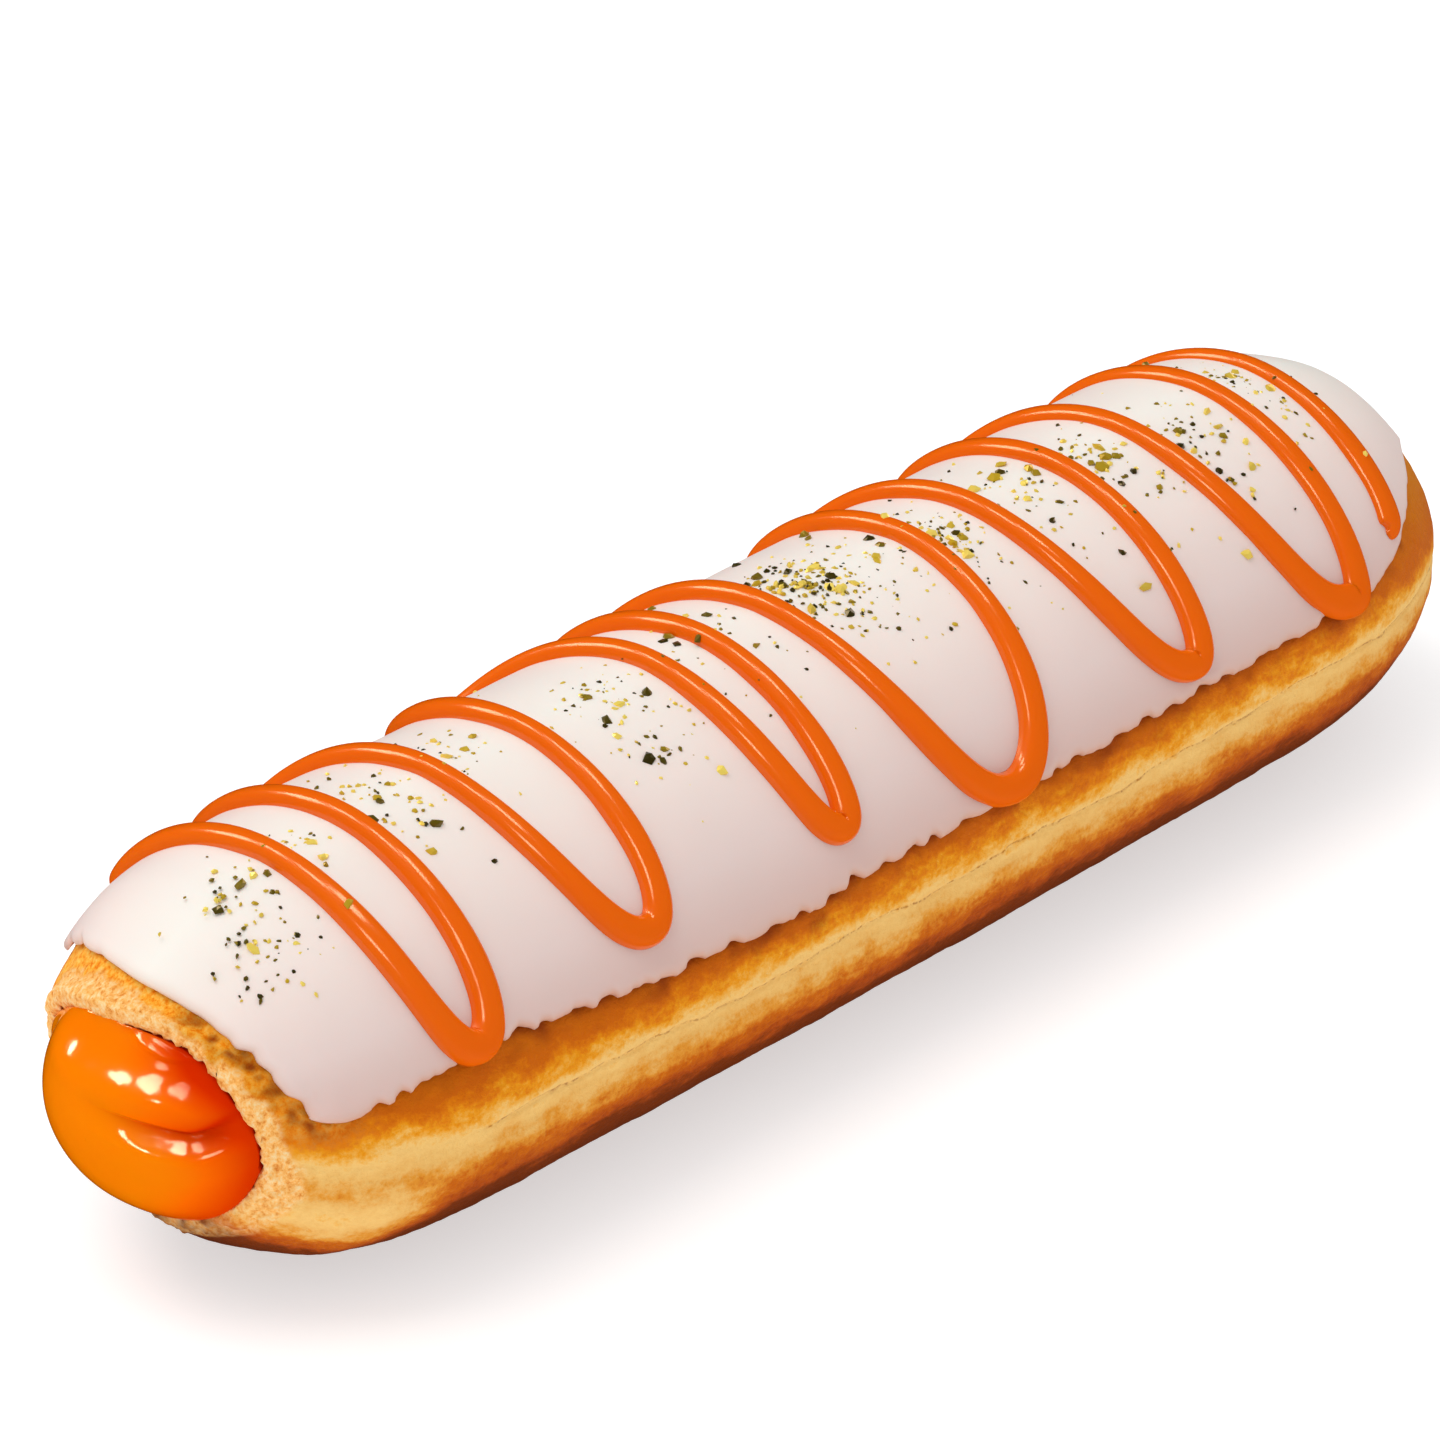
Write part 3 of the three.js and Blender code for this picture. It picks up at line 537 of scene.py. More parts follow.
def swirl_shrink(turn, height):
    """How far the coils draw in. The middle one overhangs its crease, the lowest comes out under it as a
    ledge, and the small top one stands on the middle one's shoulder behind a thin rim."""
    off, strength = lower_crease(turn, height)
    crease = np.where(off > 0, np.exp(-np.abs(off) / 0.7), 1 - smoothstep(-off, -0.4, 1.9))
    shrink = strength * (CREASE_DEPTH * crease - LEDGE_OUT * bell(off + LEDGE_BELOW, 1.6))
    shoulder = smoothstep(turn, -60, -20) * (1 - smoothstep(turn, 70, 110))
    shrink += shoulder * SHOULDER_IN * smoothstep(height, SHOULDER_FROM, SHOULDER_TO)
    shrink -= shoulder * SHOULDER_OUT * bell(height - SHOULDER_FROM, 1.2)
    above = height - RIM_HEIGHT - 0.7 * ((turn - 39) / 30) ** 2
    rim = smoothstep(turn, -5, 25) * (1 - smoothstep(turn, 60, 90))
    return shrink - RIM_DEPTH * rim * smoothstep(above, -0.1, 0.35) * np.exp(-np.maximum(above, 0) / 1.5)


def swirl_ring(turn_out):
    """A ring of the swirl at an angle from the axis of the opening."""
    way = np.stack(
        [
            np.full(ROUND, -math.cos(turn_out)),
            -math.sin(turn_out) * np.cos(round_turn),
            math.sin(turn_out) * np.sin(round_turn),
        ],
        -1,
    )
    full = np.stack(
        [
            np.full(ROUND, SWIRL_FRONT),
            np.where(way[:, 1] < 0, SWIRL_NEAR, SWIRL_FAR),
            np.where(way[:, 2] < 0, SWIRL_BOTTOM, SWIRL_TOP),
        ],
        -1,
    )

    # The coils draw in by the height of a point, which changes as it is drawn in, so it takes a few rounds
    shrink = np.zeros(ROUND)
    for _ in range(12):
        reach = full - np.stack([shrink, shrink, 0 * shrink], -1)
        point = way / np.linalg.norm(way / reach, axis=-1, keepdims=True)
        turn = np.degrees(np.arctan2(-point[:, 1] / reach[:, 1], -point[:, 0] / reach[:, 0]))
        shrink = 0.5 * shrink + 0.5 * swirl_shrink(turn, point[:, 2])
    return SWIRL + point


def round_over(share):
    """The height of a quarter round at a share of the way in from its edge."""
    return np.sqrt(np.clip(1 - (1 - np.clip(share, 0, 1)) ** 2, 0, 1))


# The swirl turns back behind the lip and runs on into the core, from a little way down the funnel
turns_out = np.linspace(0, SWIRL_ROUND_BACK, SWIRL_RINGS + 1)[1:]
cream_rings = [swirl_ring(turn_out) for turn_out in turns_out]
core_rings = hollow_rings(GAP + 0.05, LIP + 0.6)
cream_rings = np.array(cream_rings + core_rings[6:])

# Painted shade on the cream, deepest in its crease, at the lip and under it, and a little towards the top and
# the near side
from_middle = (cream_rings - SWIRL) / [SWIRL_FRONT, SWIRL_NEAR, 1]
turn = np.degrees(np.arctan2(-from_middle[..., 1], -from_middle[..., 0]))
off, strength = lower_crease(turn, from_middle[..., 2])
in_crease = strength * np.where(off > 0, np.exp(-np.abs(off) / 2), np.exp(-np.abs(off) / 0.4))
in_crease *= smoothstep(turn, 0, 60)
depth = cream_rings[..., 0] - filled_end_x(cream_rings[..., 1], cream_rings[..., 2])
depth -= far_lip_back(cream_rings[..., 1], cream_rings[..., 2])
by_lip = smoothstep(depth, -3, 0.5) * smoothstep(turn, 0, 50)
under_lip = smoothstep(from_middle[..., 2], 7.6, 9.2) * smoothstep(turn, -20, 20)
cream_shade = np.maximum(np.maximum(1.3 * in_crease, 0.85 * by_lip), under_lip)
cream_shade += 0.14 * smoothstep(from_middle[..., 2], 2, 8) + 0.1 * smoothstep(turn, 20, 70)
cream_shade = np.clip(cream_shade, 0, 1)

# Inside the mouth it is squeezed to fit, and past the lip it lies snug against the crumb
lip_room = LIP * (1 - round_over(depth / LIP))
across, up = cream_rings[..., 1] - MOUTH_Y, cream_rings[..., 2] - MOUTH_Z
torn_wider = torn_open(np.arctan2(up / MOUTH_HALF_HEIGHT, -across / MOUTH_HALF_WIDTH))
torn_wider = 1 + (torn_wider - 1) * smoothstep(8 - depth, 0, 6)
mouth_width, mouth_height = MOUTH_HALF_WIDTH * torn_wider, MOUTH_HALF_HEIGHT * torn_wider
room = np.where(depth < 0, 9, 0) + lip_room - np.where(up > 0, GAP, 0.1)
fill = np.hypot(across / (mouth_width + room), up / (mouth_height + room))
squeeze = np.minimum(1, 1 / np.maximum(fill, 1e-6))
snug_fill = np.hypot(across / (mouth_width + lip_room - 0.1), up / (mouth_height + lip_room - 0.1))
snug = smoothstep(depth, 0.1, 1.5) * (snug_fill < 1)
squeeze = squeeze * (1 - snug) + snug / np.maximum(snug_fill, 1e-6)
cream_rings[..., 1] = MOUTH_Y + across * squeeze
cream_rings[..., 2] = MOUTH_Z + up * squeeze
end_points = [SWIRL - [SWIRL_FRONT, 0, 0], [HOLLOW_END - GAP, MOUTH_Y, MOUTH_Z]]
cream_points = np.concatenate([cream_rings.reshape(-1, 3), end_points])
cream_faces = [face[::-1] for face in ring_faces(len(cream_rings), ROUND)]
tip, core_end = len(cream_points) - 2, len(cream_points) - 1
last = (len(cream_rings) - 1) * ROUND
for j in range(ROUND):
    following = (j + 1) % ROUND
    cream_faces += [(tip, j, following), (core_end, last + following, last + j)]

# Orange custard: smooth, wet and faintly translucent, so its creases glow red rather than go grey. The shade
# in the creases, by the lip and under it is painted in as a deeper red, and there the painted shade also
# turns the highlights down. Slow waves 4.5 mm apart bend its highlights a little.
CUSTARD_WAVES = 4.545
custard, tree, shader = new_material("orange_custard")
set_inputs(
    shader, Roughness=0.08, IOR=1.45, Subsurface_Weight=0.25, Subsurface_Radius=(0.004, 0.0012, 0.0003),
    Subsurface_Scale=1.0,
)
place = add_node(tree, "ShaderNodeNewGeometry").outputs["Position"]
cream_shade_value = add_node(tree, "ShaderNodeAttribute", {"attribute_name": "cream_shade"}).outputs["Fac"]
shine = add_node(tree, "ShaderNodeMapRange", Value=cream_shade_value, From_Max=0.9, To_Min=0.6, To_Max=0.02)
tree.links.new(shine.outputs["Result"], shader.inputs["Specular IOR Level"])
custard_stops = [(0.0, "#ff8400"), (0.35, "#ff6c00"), (1.0, "#d82c00")]
custard_color = add_node(tree, "ShaderNodeValToRGB", {"stops": custard_stops}, Fac=cream_shade_value)
tree.links.new(custard_color.outputs["Color"], shader.inputs["Base Color"])
soft_waves = add_node(tree, "ShaderNodeTexNoise", Vector=place, Scale=1000 / CUSTARD_WAVES, Detail=2.0)
soft_waves = soft_waves.outputs["Fac"]
wave_bump = add_node(tree, "ShaderNodeBump", Strength=0.2, Distance=0.0006, Height=soft_waves)
tree.links.new(wave_bump.outputs["Normal"], shader.inputs["Normal"])
cream_shade_values = {"cream_shade": np.append(cream_shade, [0, 0])}
add_piece("cream", cream_points, cream_faces, custard, "filling", cream_shade_values)

# ---------------------------------------------------------------- The white glaze
# Sugar glaze that the bun was dipped in face down. It set as a thin satin cap whose edge is broken by
# small uneven arcs of the browned crust.

GLAZE_THICKNESS, EDGE_THICKNESS = 0.7, 0.12
GLAZE_STATIONS, GLAZE_ACROSS = 560, 180
EDGE_ROUND = 1.1


def closer_at_ends(count):
    """Shares from 0 to 1, closer together at both ends, where the edge is rounded."""
    share = np.linspace(0, 1, count + 1)
    return share - 0.6 * np.sin(2 * math.pi * share) / (2 * math.pi)


stations = GLAZE_START + (GLAZE_END - GLAZE_START) * closer_at_ends(GLAZE_STATIONS)
across = closer_at_ends(GLAZE_ACROSS)
from_front = (stations - GLAZE_START)[:, None]
near = glaze_edge(stations, 0)[:, None]
far = 2 * SIDE_ARC - glaze_edge(stations, 1)[:, None]
arcs = near + (far - near) * across
angles = arcs / SIDE_ARC * math.pi / 2

# The front edge is set back low down, and waves a little there
set_back = (glaze_front(angles) - GLAZE_START) * bell(from_front, 7)
wavy = lumps(np.stack([0 * arcs, arcs, 0 * arcs], -1), 1.3, 32) * bell(from_front, 2)
set_back += 0.3 * wavy * smoothstep(1 - np.sin(angles), 0.02, 0.3)
glaze_x = stations[:, None] + set_back
to_edge = np.minimum(arcs - near, far - arcs)
to_edge = np.minimum(to_edge, np.minimum(from_front, (GLAZE_END - stations)[:, None]))
swell = round_over(to_edge / EDGE_ROUND)
outer, _ = skin(glaze_x, angles, GAP + EDGE_THICKNESS + (GLAZE_THICKNESS - EDGE_THICKNESS) * swell)
inner, ways = skin(glaze_x, angles, GAP)

# At the filled end the glaze follows the bun where its face falls away from the plain curve. How far it
# has to drop is found from a little above the crust, and then evened out.
FOLLOW_TO, LOOK_FROM, EVENING_ROUNDS = -58, 3, 60
crust = BVHTree.FromPolygons(dough_points.tolist(), dough_faces)
drop = np.zeros(arcs.shape)
for row in np.flatnonzero(stations < FOLLOW_TO):
    for column in range(len(across)):
        way = ways[row, column]
        reached = crust.ray_cast(inner[row, column] + LOOK_FROM * way, -way, 3 * LOOK_FROM)[3]
        drop[row, column] = np.clip((reached or LOOK_FROM) - LOOK_FROM - GAP, 0, 3)
for _ in range(EVENING_ROUNDS):
    padded = np.pad(drop, 1, "edge")
    beside = padded[:-2, 1:-1] + padded[2:, 1:-1] + padded[1:-1, :-2] + padded[1:-1, 2:]
    drop = (2 * drop + beside) / 6
inner -= drop[..., None] * ways
outer -= drop[..., None] * ways
outer += ways * (0.1 * lumps(outer, 8, 30) + 0.05 * lumps(outer, 3, 31))[..., None] * swell[..., None]
rows, columns = outer.shape[:2]
glaze_points = np.concatenate([outer.reshape(-1, 3), inner.reshape(-1, 3)])
i, j = np.meshgrid(np.arange(rows - 1), np.arange(columns - 1), indexing="ij")
here = i * columns + j
top = np.stack([here, here + columns, here + columns + 1, here + 1], -1).reshape(-1, 4)
glaze_faces = top[:, ::-1].tolist() + (top + rows * columns).tolist()
grid = np.arange(rows * columns).reshape(rows, columns)
rim = np.concatenate([grid[:-1, 0], grid[-1, :-1], grid[:0:-1, -1], grid[0, :0:-1]])
under = rim + rows * columns
glaze_faces += np.stack([rim, np.roll(rim, -1), np.roll(under, -1), under], -1).tolist()

# White sugar glaze: satin, with the brown crust glowing faintly through towards its thin edge. It is darker
# and pinker lower down the flanks, which is painted shade from the light above as well as the crust showing
# through.
white_glaze, tree, shader = new_material("white_sugar_glaze")
girth_value = add_node(tree, "ShaderNodeAttribute", {"attribute_name": "girth"}).outputs["Fac"]
level = add_node(tree, "ShaderNodeMath", multiply, in0=girth_value, in1=1 / SIDE_ARC).outputs[0]
glaze_stops = [
    (0.16, "#deb8aa"),
    (0.25, "#e4c4bc"),
    (0.4, "#efd6d0"),
    (0.65, "#fce6de"),
    (1.0, "#fff4ea"),
]
glaze_color = add_node(tree, "ShaderNodeValToRGB", {"stops": glaze_stops}, Fac=level).outputs["Color"]
rim_value = add_node(tree, "ShaderNodeAttribute", {"attribute_name": "rim"}).outputs["Fac"]
rim_color = linear("#d8946c")
glaze_color = add_node(tree, "ShaderNodeMix", mix, in0=rim_value, in6=glaze_color, in7=rim_color)
tree.links.new(glaze_color.outputs[2], shader.inputs["Base Color"])
set_inputs(
    shader, Roughness=0.45, IOR=1.45, Subsurface_Weight=0.3, Subsurface_Radius=(0.0015, 0.0009, 0.0008),
    Subsurface_Scale=1.0,
)
glaze_girth = np.where(arcs < SIDE_ARC, arcs, 2 * SIDE_ARC - arcs).ravel()
rim_tint = (0.6 * bell(to_edge, 0.45) * (1 - 0.6 * bell(from_front, 1.5))).ravel()
add_piece(
    "glaze", glaze_points, glaze_faces, white_glaze, "icing",
    {"girth": np.tile(glaze_girth, 2), "rim": np.tile(rim_tint, 2)},
)

# ---------------------------------------------------------------- The drizzle
# Orange fondant, run warm from a piping bag to and fro across the glaze in one thread. It is thickest
# where it turned, and set with a rounded top.

# Each turn on the near side: where the thread crosses the ridge on its way down and up, how far along the
# bun its lowest point is, and the girth above the belt there
NEAR_TURNS = [
    (-59, -51.5, -55.2, 8.2),
    (-41.5, -31.5, -35.3, 10.2),
    (-16.5, -10.5, -12.8, 10.4),
    (-3, 14, 6, 6.7),
    (22, 32.5, 30, 8.4),
    (41.5, 52.2, 50.2, 6.4),
]
FIRST_STRAND = (-57.5, 9.0)
LAST_STRAND = (59.2, 57.2, 9.6)
RIDGE_HALF_WIDTH, TIP_HALF_WIDTH = 1.05, 1.6
BEAD_HEIGHT, BEAD_LOW_HEIGHT, BEAD_SUNK = 1.25, 0.85, 0.3
STRAND_STEPS = 44
BEAD_POINTS = 28
END_ROUND, TIGHTEST = 1.8, 0.9


def half_turn(ridge_x, x, arc):
    """From the ridge to a turn's lowest point, on a flat chart of x against girth."""
    reach, drop = abs(x - ridge_x), abs(SIDE_ARC - arc)
    down = math.copysign(1, arc - SIDE_ARC)
    straight = max(0.3 * drop, drop - 1.6 * reach)
    along = math.copysign(max(0.7 * reach, min(1.3, reach)), x - ridge_x)
    corners = [(ridge_x, SIDE_ARC), (ridge_x, SIDE_ARC + down * straight), (x - along, arc), (x, arc)]
    corners = np.array(corners)
    t = np.linspace(0, 1, STRAND_STEPS + 1)[:, None]
    weights = [(1 - t) ** 3, 3 * t * (1 - t) ** 2, 3 * t * t * (1 - t), t**3]
    return sum(weight * corner for weight, corner in zip(weights, corners))


strand = [half_turn(NEAR_TURNS[0][0], FIRST_STRAND[0], 2 * SIDE_ARC - FIRST_STRAND[1])[::-1]]
for number, (down_x, up_x, turn_x, turn_arc) in enumerate(NEAR_TURNS):
    strand.append(half_turn(down_x, turn_x, turn_arc)[1:])
    strand.append(half_turn(up_x, turn_x, turn_arc)[::-1][1:])
    following = NEAR_TURNS[number + 1][0] if number + 1 < len(NEAR_TURNS) else LAST_STRAND[0]
    far_x = (up_x + following) / 2
    far_arc = 2 * SIDE_ARC - (7.5 + 1.5 * math.sin(2.3 * number))
    strand.append(half_turn(up_x, far_x, far_arc)[1:])
    strand.append(half_turn(following, far_x, far_arc)[::-1][1:])
strand.append(half_turn(*LAST_STRAND)[1:])
strand = np.concatenate(strand)

spine, lift = skin(strand[:, 0], strand[:, 1] / SIDE_ARC * math.pi / 2, GAP + GLAZE_THICKNESS)
along = np.gradient(spine, axis=0)
pace = np.linalg.norm(along, axis=1, keepdims=True)
sideways = np.cross(along / pace, lift)
sideways /= np.linalg.norm(sideways, axis=1, keepdims=True)
bend = np.sum(np.gradient(along / pace, axis=0) / pace * sideways, axis=1)
wide = RIDGE_HALF_WIDTH + (TIP_HALF_WIDTH - RIDGE_HALF_WIDTH) * np.abs(1 - strand[:, 1] / SIDE_ARC)
wide *= 1 + 0.07 * lumps(spine, 5, 40)
high = BEAD_HEIGHT + (BEAD_LOW_HEIGHT - BEAD_HEIGHT) * smoothstep(spine[:, 0], 10, 60)
run = np.concatenate([[0], np.cumsum(np.linalg.norm(np.diff(spine, axis=0), axis=1))])
to_end = np.minimum(run, run[-1] - run)
taper = np.maximum(round_over(to_end / END_ROUND), 0.02)

# The thread's section is a flat half oval, sunk a little into the glaze. It is narrower on the inside of a
# tight turn, so that it doesn't run into itself, and rounded off at both ends.
turn = np.linspace(0, math.pi, BEAD_POINTS)
bead_rings = []
for k in range(len(spine)):
    left = min(wide[k], TIGHTEST / max(-bend[k], 1e-6))
    right = min(wide[k], TIGHTEST / max(bend[k], 1e-6))
    flat = -np.sign(np.cos(turn)) * np.abs(np.cos(turn)) ** 0.75
    flat = np.where(flat < 0, flat * left, flat * right) * taper[k]
    height = (-BEAD_SUNK + (high[k] + BEAD_SUNK) * np.sin(turn) ** 0.8) * taper[k]
    bead_rings.append(spine[k] + flat[:, None] * sideways[k] + height[:, None] * lift[k])
bead_rings = np.array(bead_rings)
drizzle_faces = ring_faces(len(bead_rings), BEAD_POINTS)
last = (len(spine) - 1) * BEAD_POINTS
drizzle_faces += [tuple(range(BEAD_POINTS)), tuple(range(last + BEAD_POINTS - 1, last - 1, -1))]

# Orange fondant: poured sugar icing, glossy as wet paint, with slow waves 4 mm apart in its skin
FONDANT_WAVES = 3.846
fondant, tree, shader = new_material("orange_fondant")
set_inputs(
    shader, Base_Color=linear("#f06600"), Roughness=0.17, IOR=1.47, Subsurface_Weight=0.15,
    Subsurface_Radius=(0.0015, 0.0005, 0.0002), Subsurface_Scale=1.0,
)
place = add_node(tree, "ShaderNodeNewGeometry").outputs["Position"]
slow_waves = add_node(tree, "ShaderNodeTexNoise", Vector=place, Scale=1000 / FONDANT_WAVES, Detail=2.0)
slow_waves = slow_waves.outputs["Fac"]
wave_bump = add_node(tree, "ShaderNodeBump", Strength=0.15, Distance=0.0004, Height=slow_waves)
tree.links.new(wave_bump.outputs["Normal"], shader.inputs["Normal"])
add_piece("drizzle", bead_rings.reshape(-1, 3), drizzle_faces, fondant, "icing")

# ---------------------------------------------------------------- The gold leaf
# Crumbs of edible gold leaf, beaten from the metal and sprinkled along the ridge, where they stuck to the
# wet glaze. The larger are crumpled foil and the rest dust.

# Each drift: how far along the bun and at what girth its middle is, its reach, and its number of crumbs
DRIFTS = [
    (-67, 23, 3.2, 40),
    (-63, 26, 4.0, 60),
    (-57, 29, 1.8, 40),
    (-45.5, 30, 4.5, 70),
    (-39, 32, 3.0, 50),
    (-23.5, 27, 5.0, 110),
    (-10, 29, 4, 60),
    (2, 31, 3.4, 150),
    (5, 27, 4.5, 90),
    (14, 29, 4.0, 110),
    (18, 28, 2.2, 50),
    (27, 28, 4.5, 80),
    (36.5, 28, 4.0, 80),
    (46, 25, 3.0, 60),
    (56, 28, 3.2, 100),
    (0, 24, 30, 110),
    (40, 24, 16, 70),
]
SPREAD_ALONG = 0.7
STREWN_FROM, STREWN_TO = -70, 62
LOWEST_GIRTH, HIGHEST_GIRTH = 13, 46
THREAD_REACH, STUCK_TO_THREAD = 1.7, 0.15
ONE_LARGE_IN = 7
LARGE_FROM, LARGE_TO = 0.3, 0.66
SMALL_FROM, SMALL_TO = 0.1, 0.3
CRUMPLE = 0.45

# A crumb starts as a solid of twenty triangles, which is then flattened and crumpled
GOLDEN = 1.618
CORNERS = np.array([(0, a, b * GOLDEN) for a in (-1, 1) for b in (-1, 1)])
CORNERS = np.concatenate([np.roll(CORNERS, -turned, axis=1) for turned in range(3)])
CORNERS /= np.linalg.norm(CORNERS[0])
lengths = np.linalg.norm(CORNERS[:, None] - CORNERS[None], axis=2)
edge_length = np.sort(lengths[0])[1]
joined = np.abs(lengths - edge_length) < 1e-3
SIDES = []
for a, b, c in itertools.combinations(range(len(CORNERS)), 3):
    if joined[a, b] and joined[b, c] and joined[a, c]:
        way = np.cross(CORNERS[b] - CORNERS[a], CORNERS[c] - CORNERS[a])
        SIDES.append((a, b, c) if np.dot(way, CORNERS[a]) > 0 else (a, c, b))


def scatter_flakes(name, spots, sizes, seed, material, thinness):
    """One piece of crumbs, each lying on the glaze or on the drizzle at its spot, leaning a little."""
    rng = np.random.default_rng(seed)
    points, faces, painted_glints = [], [], []
    for (x, arc), size in zip(spots, sizes):
        gap = np.hypot(strand[:, 0] - x, strand[:, 1] - arc)
        nearest = int(np.argmin(gap))
        climb = np.sqrt(np.clip(1 - (gap[nearest] / wide[nearest]) ** 2, 0, 1)) * high[nearest]
        place, way = skin(x, arc / SIDE_ARC * math.pi / 2, GAP + GLAZE_THICKNESS + climb)
        turn_axis = Vector(rng.normal(size=3)).normalized()
        lie = Vector((0, 0, 1)).rotation_difference(Vector(way)).to_matrix()
        lean = Matrix.Rotation(rng.uniform(-0.5, 0.5), 3, turn_axis)
        turned = np.array(lean @ lie @ Matrix.Rotation(rng.uniform(0, 6.28), 3, "Z"))
        shape = CORNERS * (1 + rng.uniform(-CRUMPLE, CRUMPLE, CORNERS.shape))
        shape = shape * [size, size * rng.uniform(0.5, 1), size * thinness]
        first = len(points) * len(CORNERS)
        points.append(place + shape @ turned.T)
        faces += [(first + a, first + b, first + c) for a, b, c in SIDES]
        # Each crumb's painted reflection, from dark to bright
        painted_glints.append(np.full(len(CORNERS), rng.uniform()))
    painted_glints = {"painted_glint": np.concatenate(painted_glints)}
    add_piece(name, np.concatenate(points), faces, material, "icing", painted_glints, smooth=False)


rng = np.random.default_rng(50)


def on_glaze(x, arc):
    """Whether a spot is on the part that was strewn, which has an uneven lower limit."""
    return STREWN_FROM < x < STREWN_TO and LOWEST_GIRTH + 4 * rng.uniform() < arc < HIGHEST_GIRTH


def beside_thread(x, arc):
    """Whether a spot is clear of the drizzle's thread."""
    return np.hypot(strand[:, 0] - x, strand[:, 1] - arc).min() > THREAD_REACH


spots = []
for x, arc, reach, count in DRIFTS:
    for _ in range(count):
        spots.append((x + rng.normal() * reach * SPREAD_ALONG, arc + rng.normal() * reach))
spots = [(x, arc) for x, arc in spots if on_glaze(x, arc)]

# Few of them lie on the drizzle, and one in seven is large
spots = [(x, arc) for x, arc in spots if beside_thread(x, arc) or rng.uniform() < STUCK_TO_THREAD]
order = rng.permutation(len(spots))
large_count = len(spots) // ONE_LARGE_IN
large = [spots[k] for k in order[:large_count]]
small = [spots[k] for k in order[large_count:]]

# Gold leaf: beaten metal, bright where a facet meets the light and dark olive where it turns away. There is
# little round it to reflect, so most of that is painted into its colour, as a reflection drawn at random for
# each crumb from dark olive to bright gold, and it is only faintly metallic.
gold_leaf, tree, shader = new_material("gold_leaf")
painted_glint = add_node(tree, "ShaderNodeAttribute", {"attribute_name": "painted_glint"}).outputs["Fac"]
gold_stops = [(0.1, "#3c3404"), (0.35, "#84700c"), (0.55, "#d0ac20"), (0.8, "#ffe468")]
gold_color = add_node(tree, "ShaderNodeValToRGB", {"stops": gold_stops}, Fac=painted_glint).outputs["Color"]
tree.links.new(gold_color, shader.inputs["Base Color"])
set_inputs(shader, Metallic=0.15, Roughness=0.3)
large_sizes = rng.uniform(LARGE_FROM, LARGE_TO, len(large))
scatter_flakes("gold_flakes", large, large_sizes, seed=51, material=gold_leaf, thinness=0.6)
small_sizes = rng.uniform(SMALL_FROM, SMALL_TO, len(small))
scatter_flakes("gold_dust", small, small_sizes, seed=52, material=gold_leaf, thinness=0.7)

# ---------------------------------------------------------------- Floor, light and camera
# A white sheet under soft light from above, as for a catalogue picture. The windows and skylights round
# it are seen only as reflections in the wet cream, the fondant and the gold.

FLOOR_HALF = 3
floor_corners = [(-FLOOR_HALF, -FLOOR_HALF, 0), (FLOOR_HALF, -FLOOR_HALF, 0)]
floor_corners += [(FLOOR_HALF, FLOOR_HALF, 0), (-FLOOR_HALF, FLOOR_HALF, 0)]
mesh = bpy.data.meshes.new("floor")
mesh.from_pydata(floor_corners, [], [(0, 1, 2, 3)])
floor = bpy.data.objects.new("floor", mesh)
bpy.context.scene.collection.objects.link(floor)

# White paper: matt, and lit through from below as on a light table, so that it stays white up to the bun
white_paper, tree, shader = new_material("white_paper")
set_inputs(shader, Base_Color=linear("#d4d4d4"), Roughness=0.9)
set_inputs(shader, Emission_Color=linear("#ffffff"), Emission_Strength=0.56)
mesh.materials.append(white_paper)
floor.visible_glossy = False

world = bpy.data.worlds.new("white_room")
bpy.context.scene.world = world
world.use_nodes = True
set_inputs(world.node_tree.nodes["Background"], Color=linear("#ffffff"), Strength=0.7)
world.cycles_visibility.glossy = False

# The camera looks from the left front and above, at a point near the middle of the bun, in metres
AZIMUTH, ELEVATION = math.radians(-46.764), math.radians(28.877)
CAMERA_DISTANCE, CAMERA_LENS = 0.65, 192.7
right = Vector((math.cos(AZIMUTH), math.sin(AZIMUTH), 0))
ahead = Vector((-math.sin(AZIMUTH), math.cos(AZIMUTH), 0))
back = Vector((0, 0, math.sin(ELEVATION))) - ahead * math.cos(ELEVATION)
upward = back.cross(right)
target = Vector((0.005723, 0.010769, 0.0155))


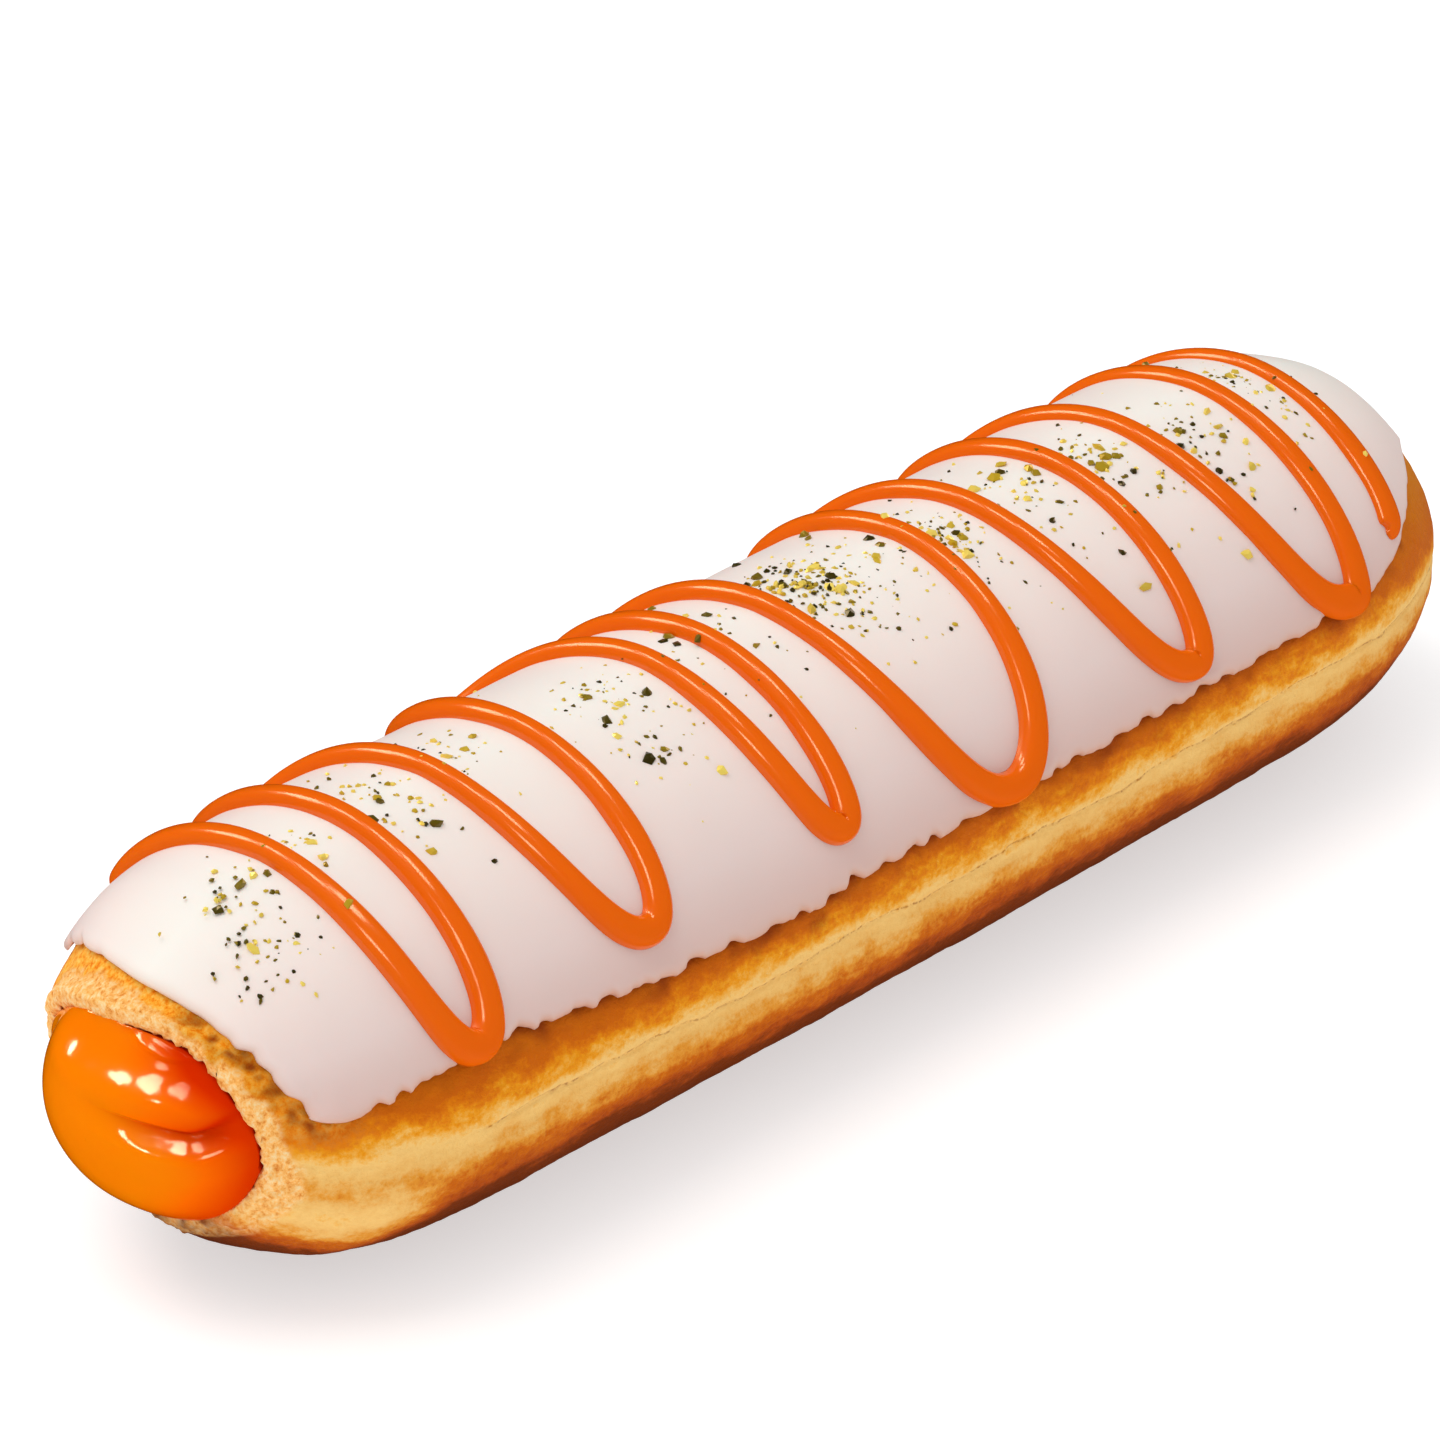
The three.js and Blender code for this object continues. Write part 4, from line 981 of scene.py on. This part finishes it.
def add_softbox(name, way, distance, width, height, power, sheen_on=()):
    """A lamp that faces the eclair, sizes in metres. One for the sheen on some pieces lights nothing else."""
    light = bpy.data.lights.new(name, "AREA")
    light.shape = "RECTANGLE"
    light.size, light.size_y = width, height
    light.energy = power
    lamp = bpy.data.objects.new(name, light)
    way = Vector(way).normalized()
    lamp.location = target + way * distance
    lamp.rotation_euler = way.to_track_quat("Z", "Y").to_euler()
    bpy.context.scene.collection.objects.link(lamp)
    if sheen_on:
        light.color = linear("#ffe7bf")[:3]
        light.use_shadow = False
        lamp.visible_diffuse = False
        lamp.light_linking.receiver_collection = bpy.data.collections.new(name)
        for piece in sheen_on:
            lamp.light_linking.receiver_collection.objects.link(bpy.data.objects[piece])
    else:
        lamp.visible_glossy = False


add_softbox("overhead_softbox", (-0.3, 0.3, 1), distance=0.8, width=0.6, height=0.6, power=2.9)

# Windows behind and to the left, whose panes are the chains of highlights on the cream
WINDOW_PANES = [
    (-0.14, 0.9, 0.42),
    (-0.3, 0.7, 0.65),
    (-0.47, 0.5, 0.73),
    (-0.5, 0.3, 0.81),
    (-0.42, 0.07, 0.9),
]
pane = {"distance": 2.4, "width": 0.34, "height": 0.3, "power": 11, "sheen_on": ["cream"]}
for number, way in enumerate(WINDOW_PANES):
    add_softbox(f"window_pane_{number}", way, **pane)
low_window = {"distance": 2.4, "width": 0.2, "height": 0.24, "power": 5, "sheen_on": ["cream"]}
add_softbox("low_window", (-0.68, 0.16, 0.71), **low_window)

# A window and skylights for the sheen on the drizzle and the gold, and one to the right for the flakes
window = {"distance": 0.6, "width": 0.22, "height": 0.22, "power": 2.0}
add_softbox("window", (-0.33, 0.75, 0.55), sheen_on=["drizzle", "gold_flakes", "gold_dust"], **window)
SKYLIGHTS = [(-0.2, 0.5, 0.84), (0.0, 0.18, 0.98), (0.28, -0.06, 0.96), (-0.62, -0.33, 0.71)]
skylight = {"distance": 0.6, "width": 0.15, "height": 0.15, "power": 1.0, "sheen_on": ["drizzle"]}
for number, way in enumerate(SKYLIGHTS):
    add_softbox(f"skylight_{number}", way, **skylight)
right_window = {"distance": 0.6, "width": 0.3, "height": 0.06, "power": 0.8, "sheen_on": ["gold_flakes"]}
add_softbox("right_window", (0.95, 0.1, 0.15), **right_window)

camera = bpy.data.cameras.new("camera")
camera.sensor_width = 36
camera.lens = CAMERA_LENS
viewer = bpy.data.objects.new("camera", camera)
viewer.location = target + back * CAMERA_DISTANCE
viewer.rotation_euler = Matrix((right, upward, back)).transposed().to_euler()
bpy.context.scene.collection.objects.link(viewer)
bpy.context.scene.camera = viewer
bpy.context.scene.view_settings.view_transform = "Standard"
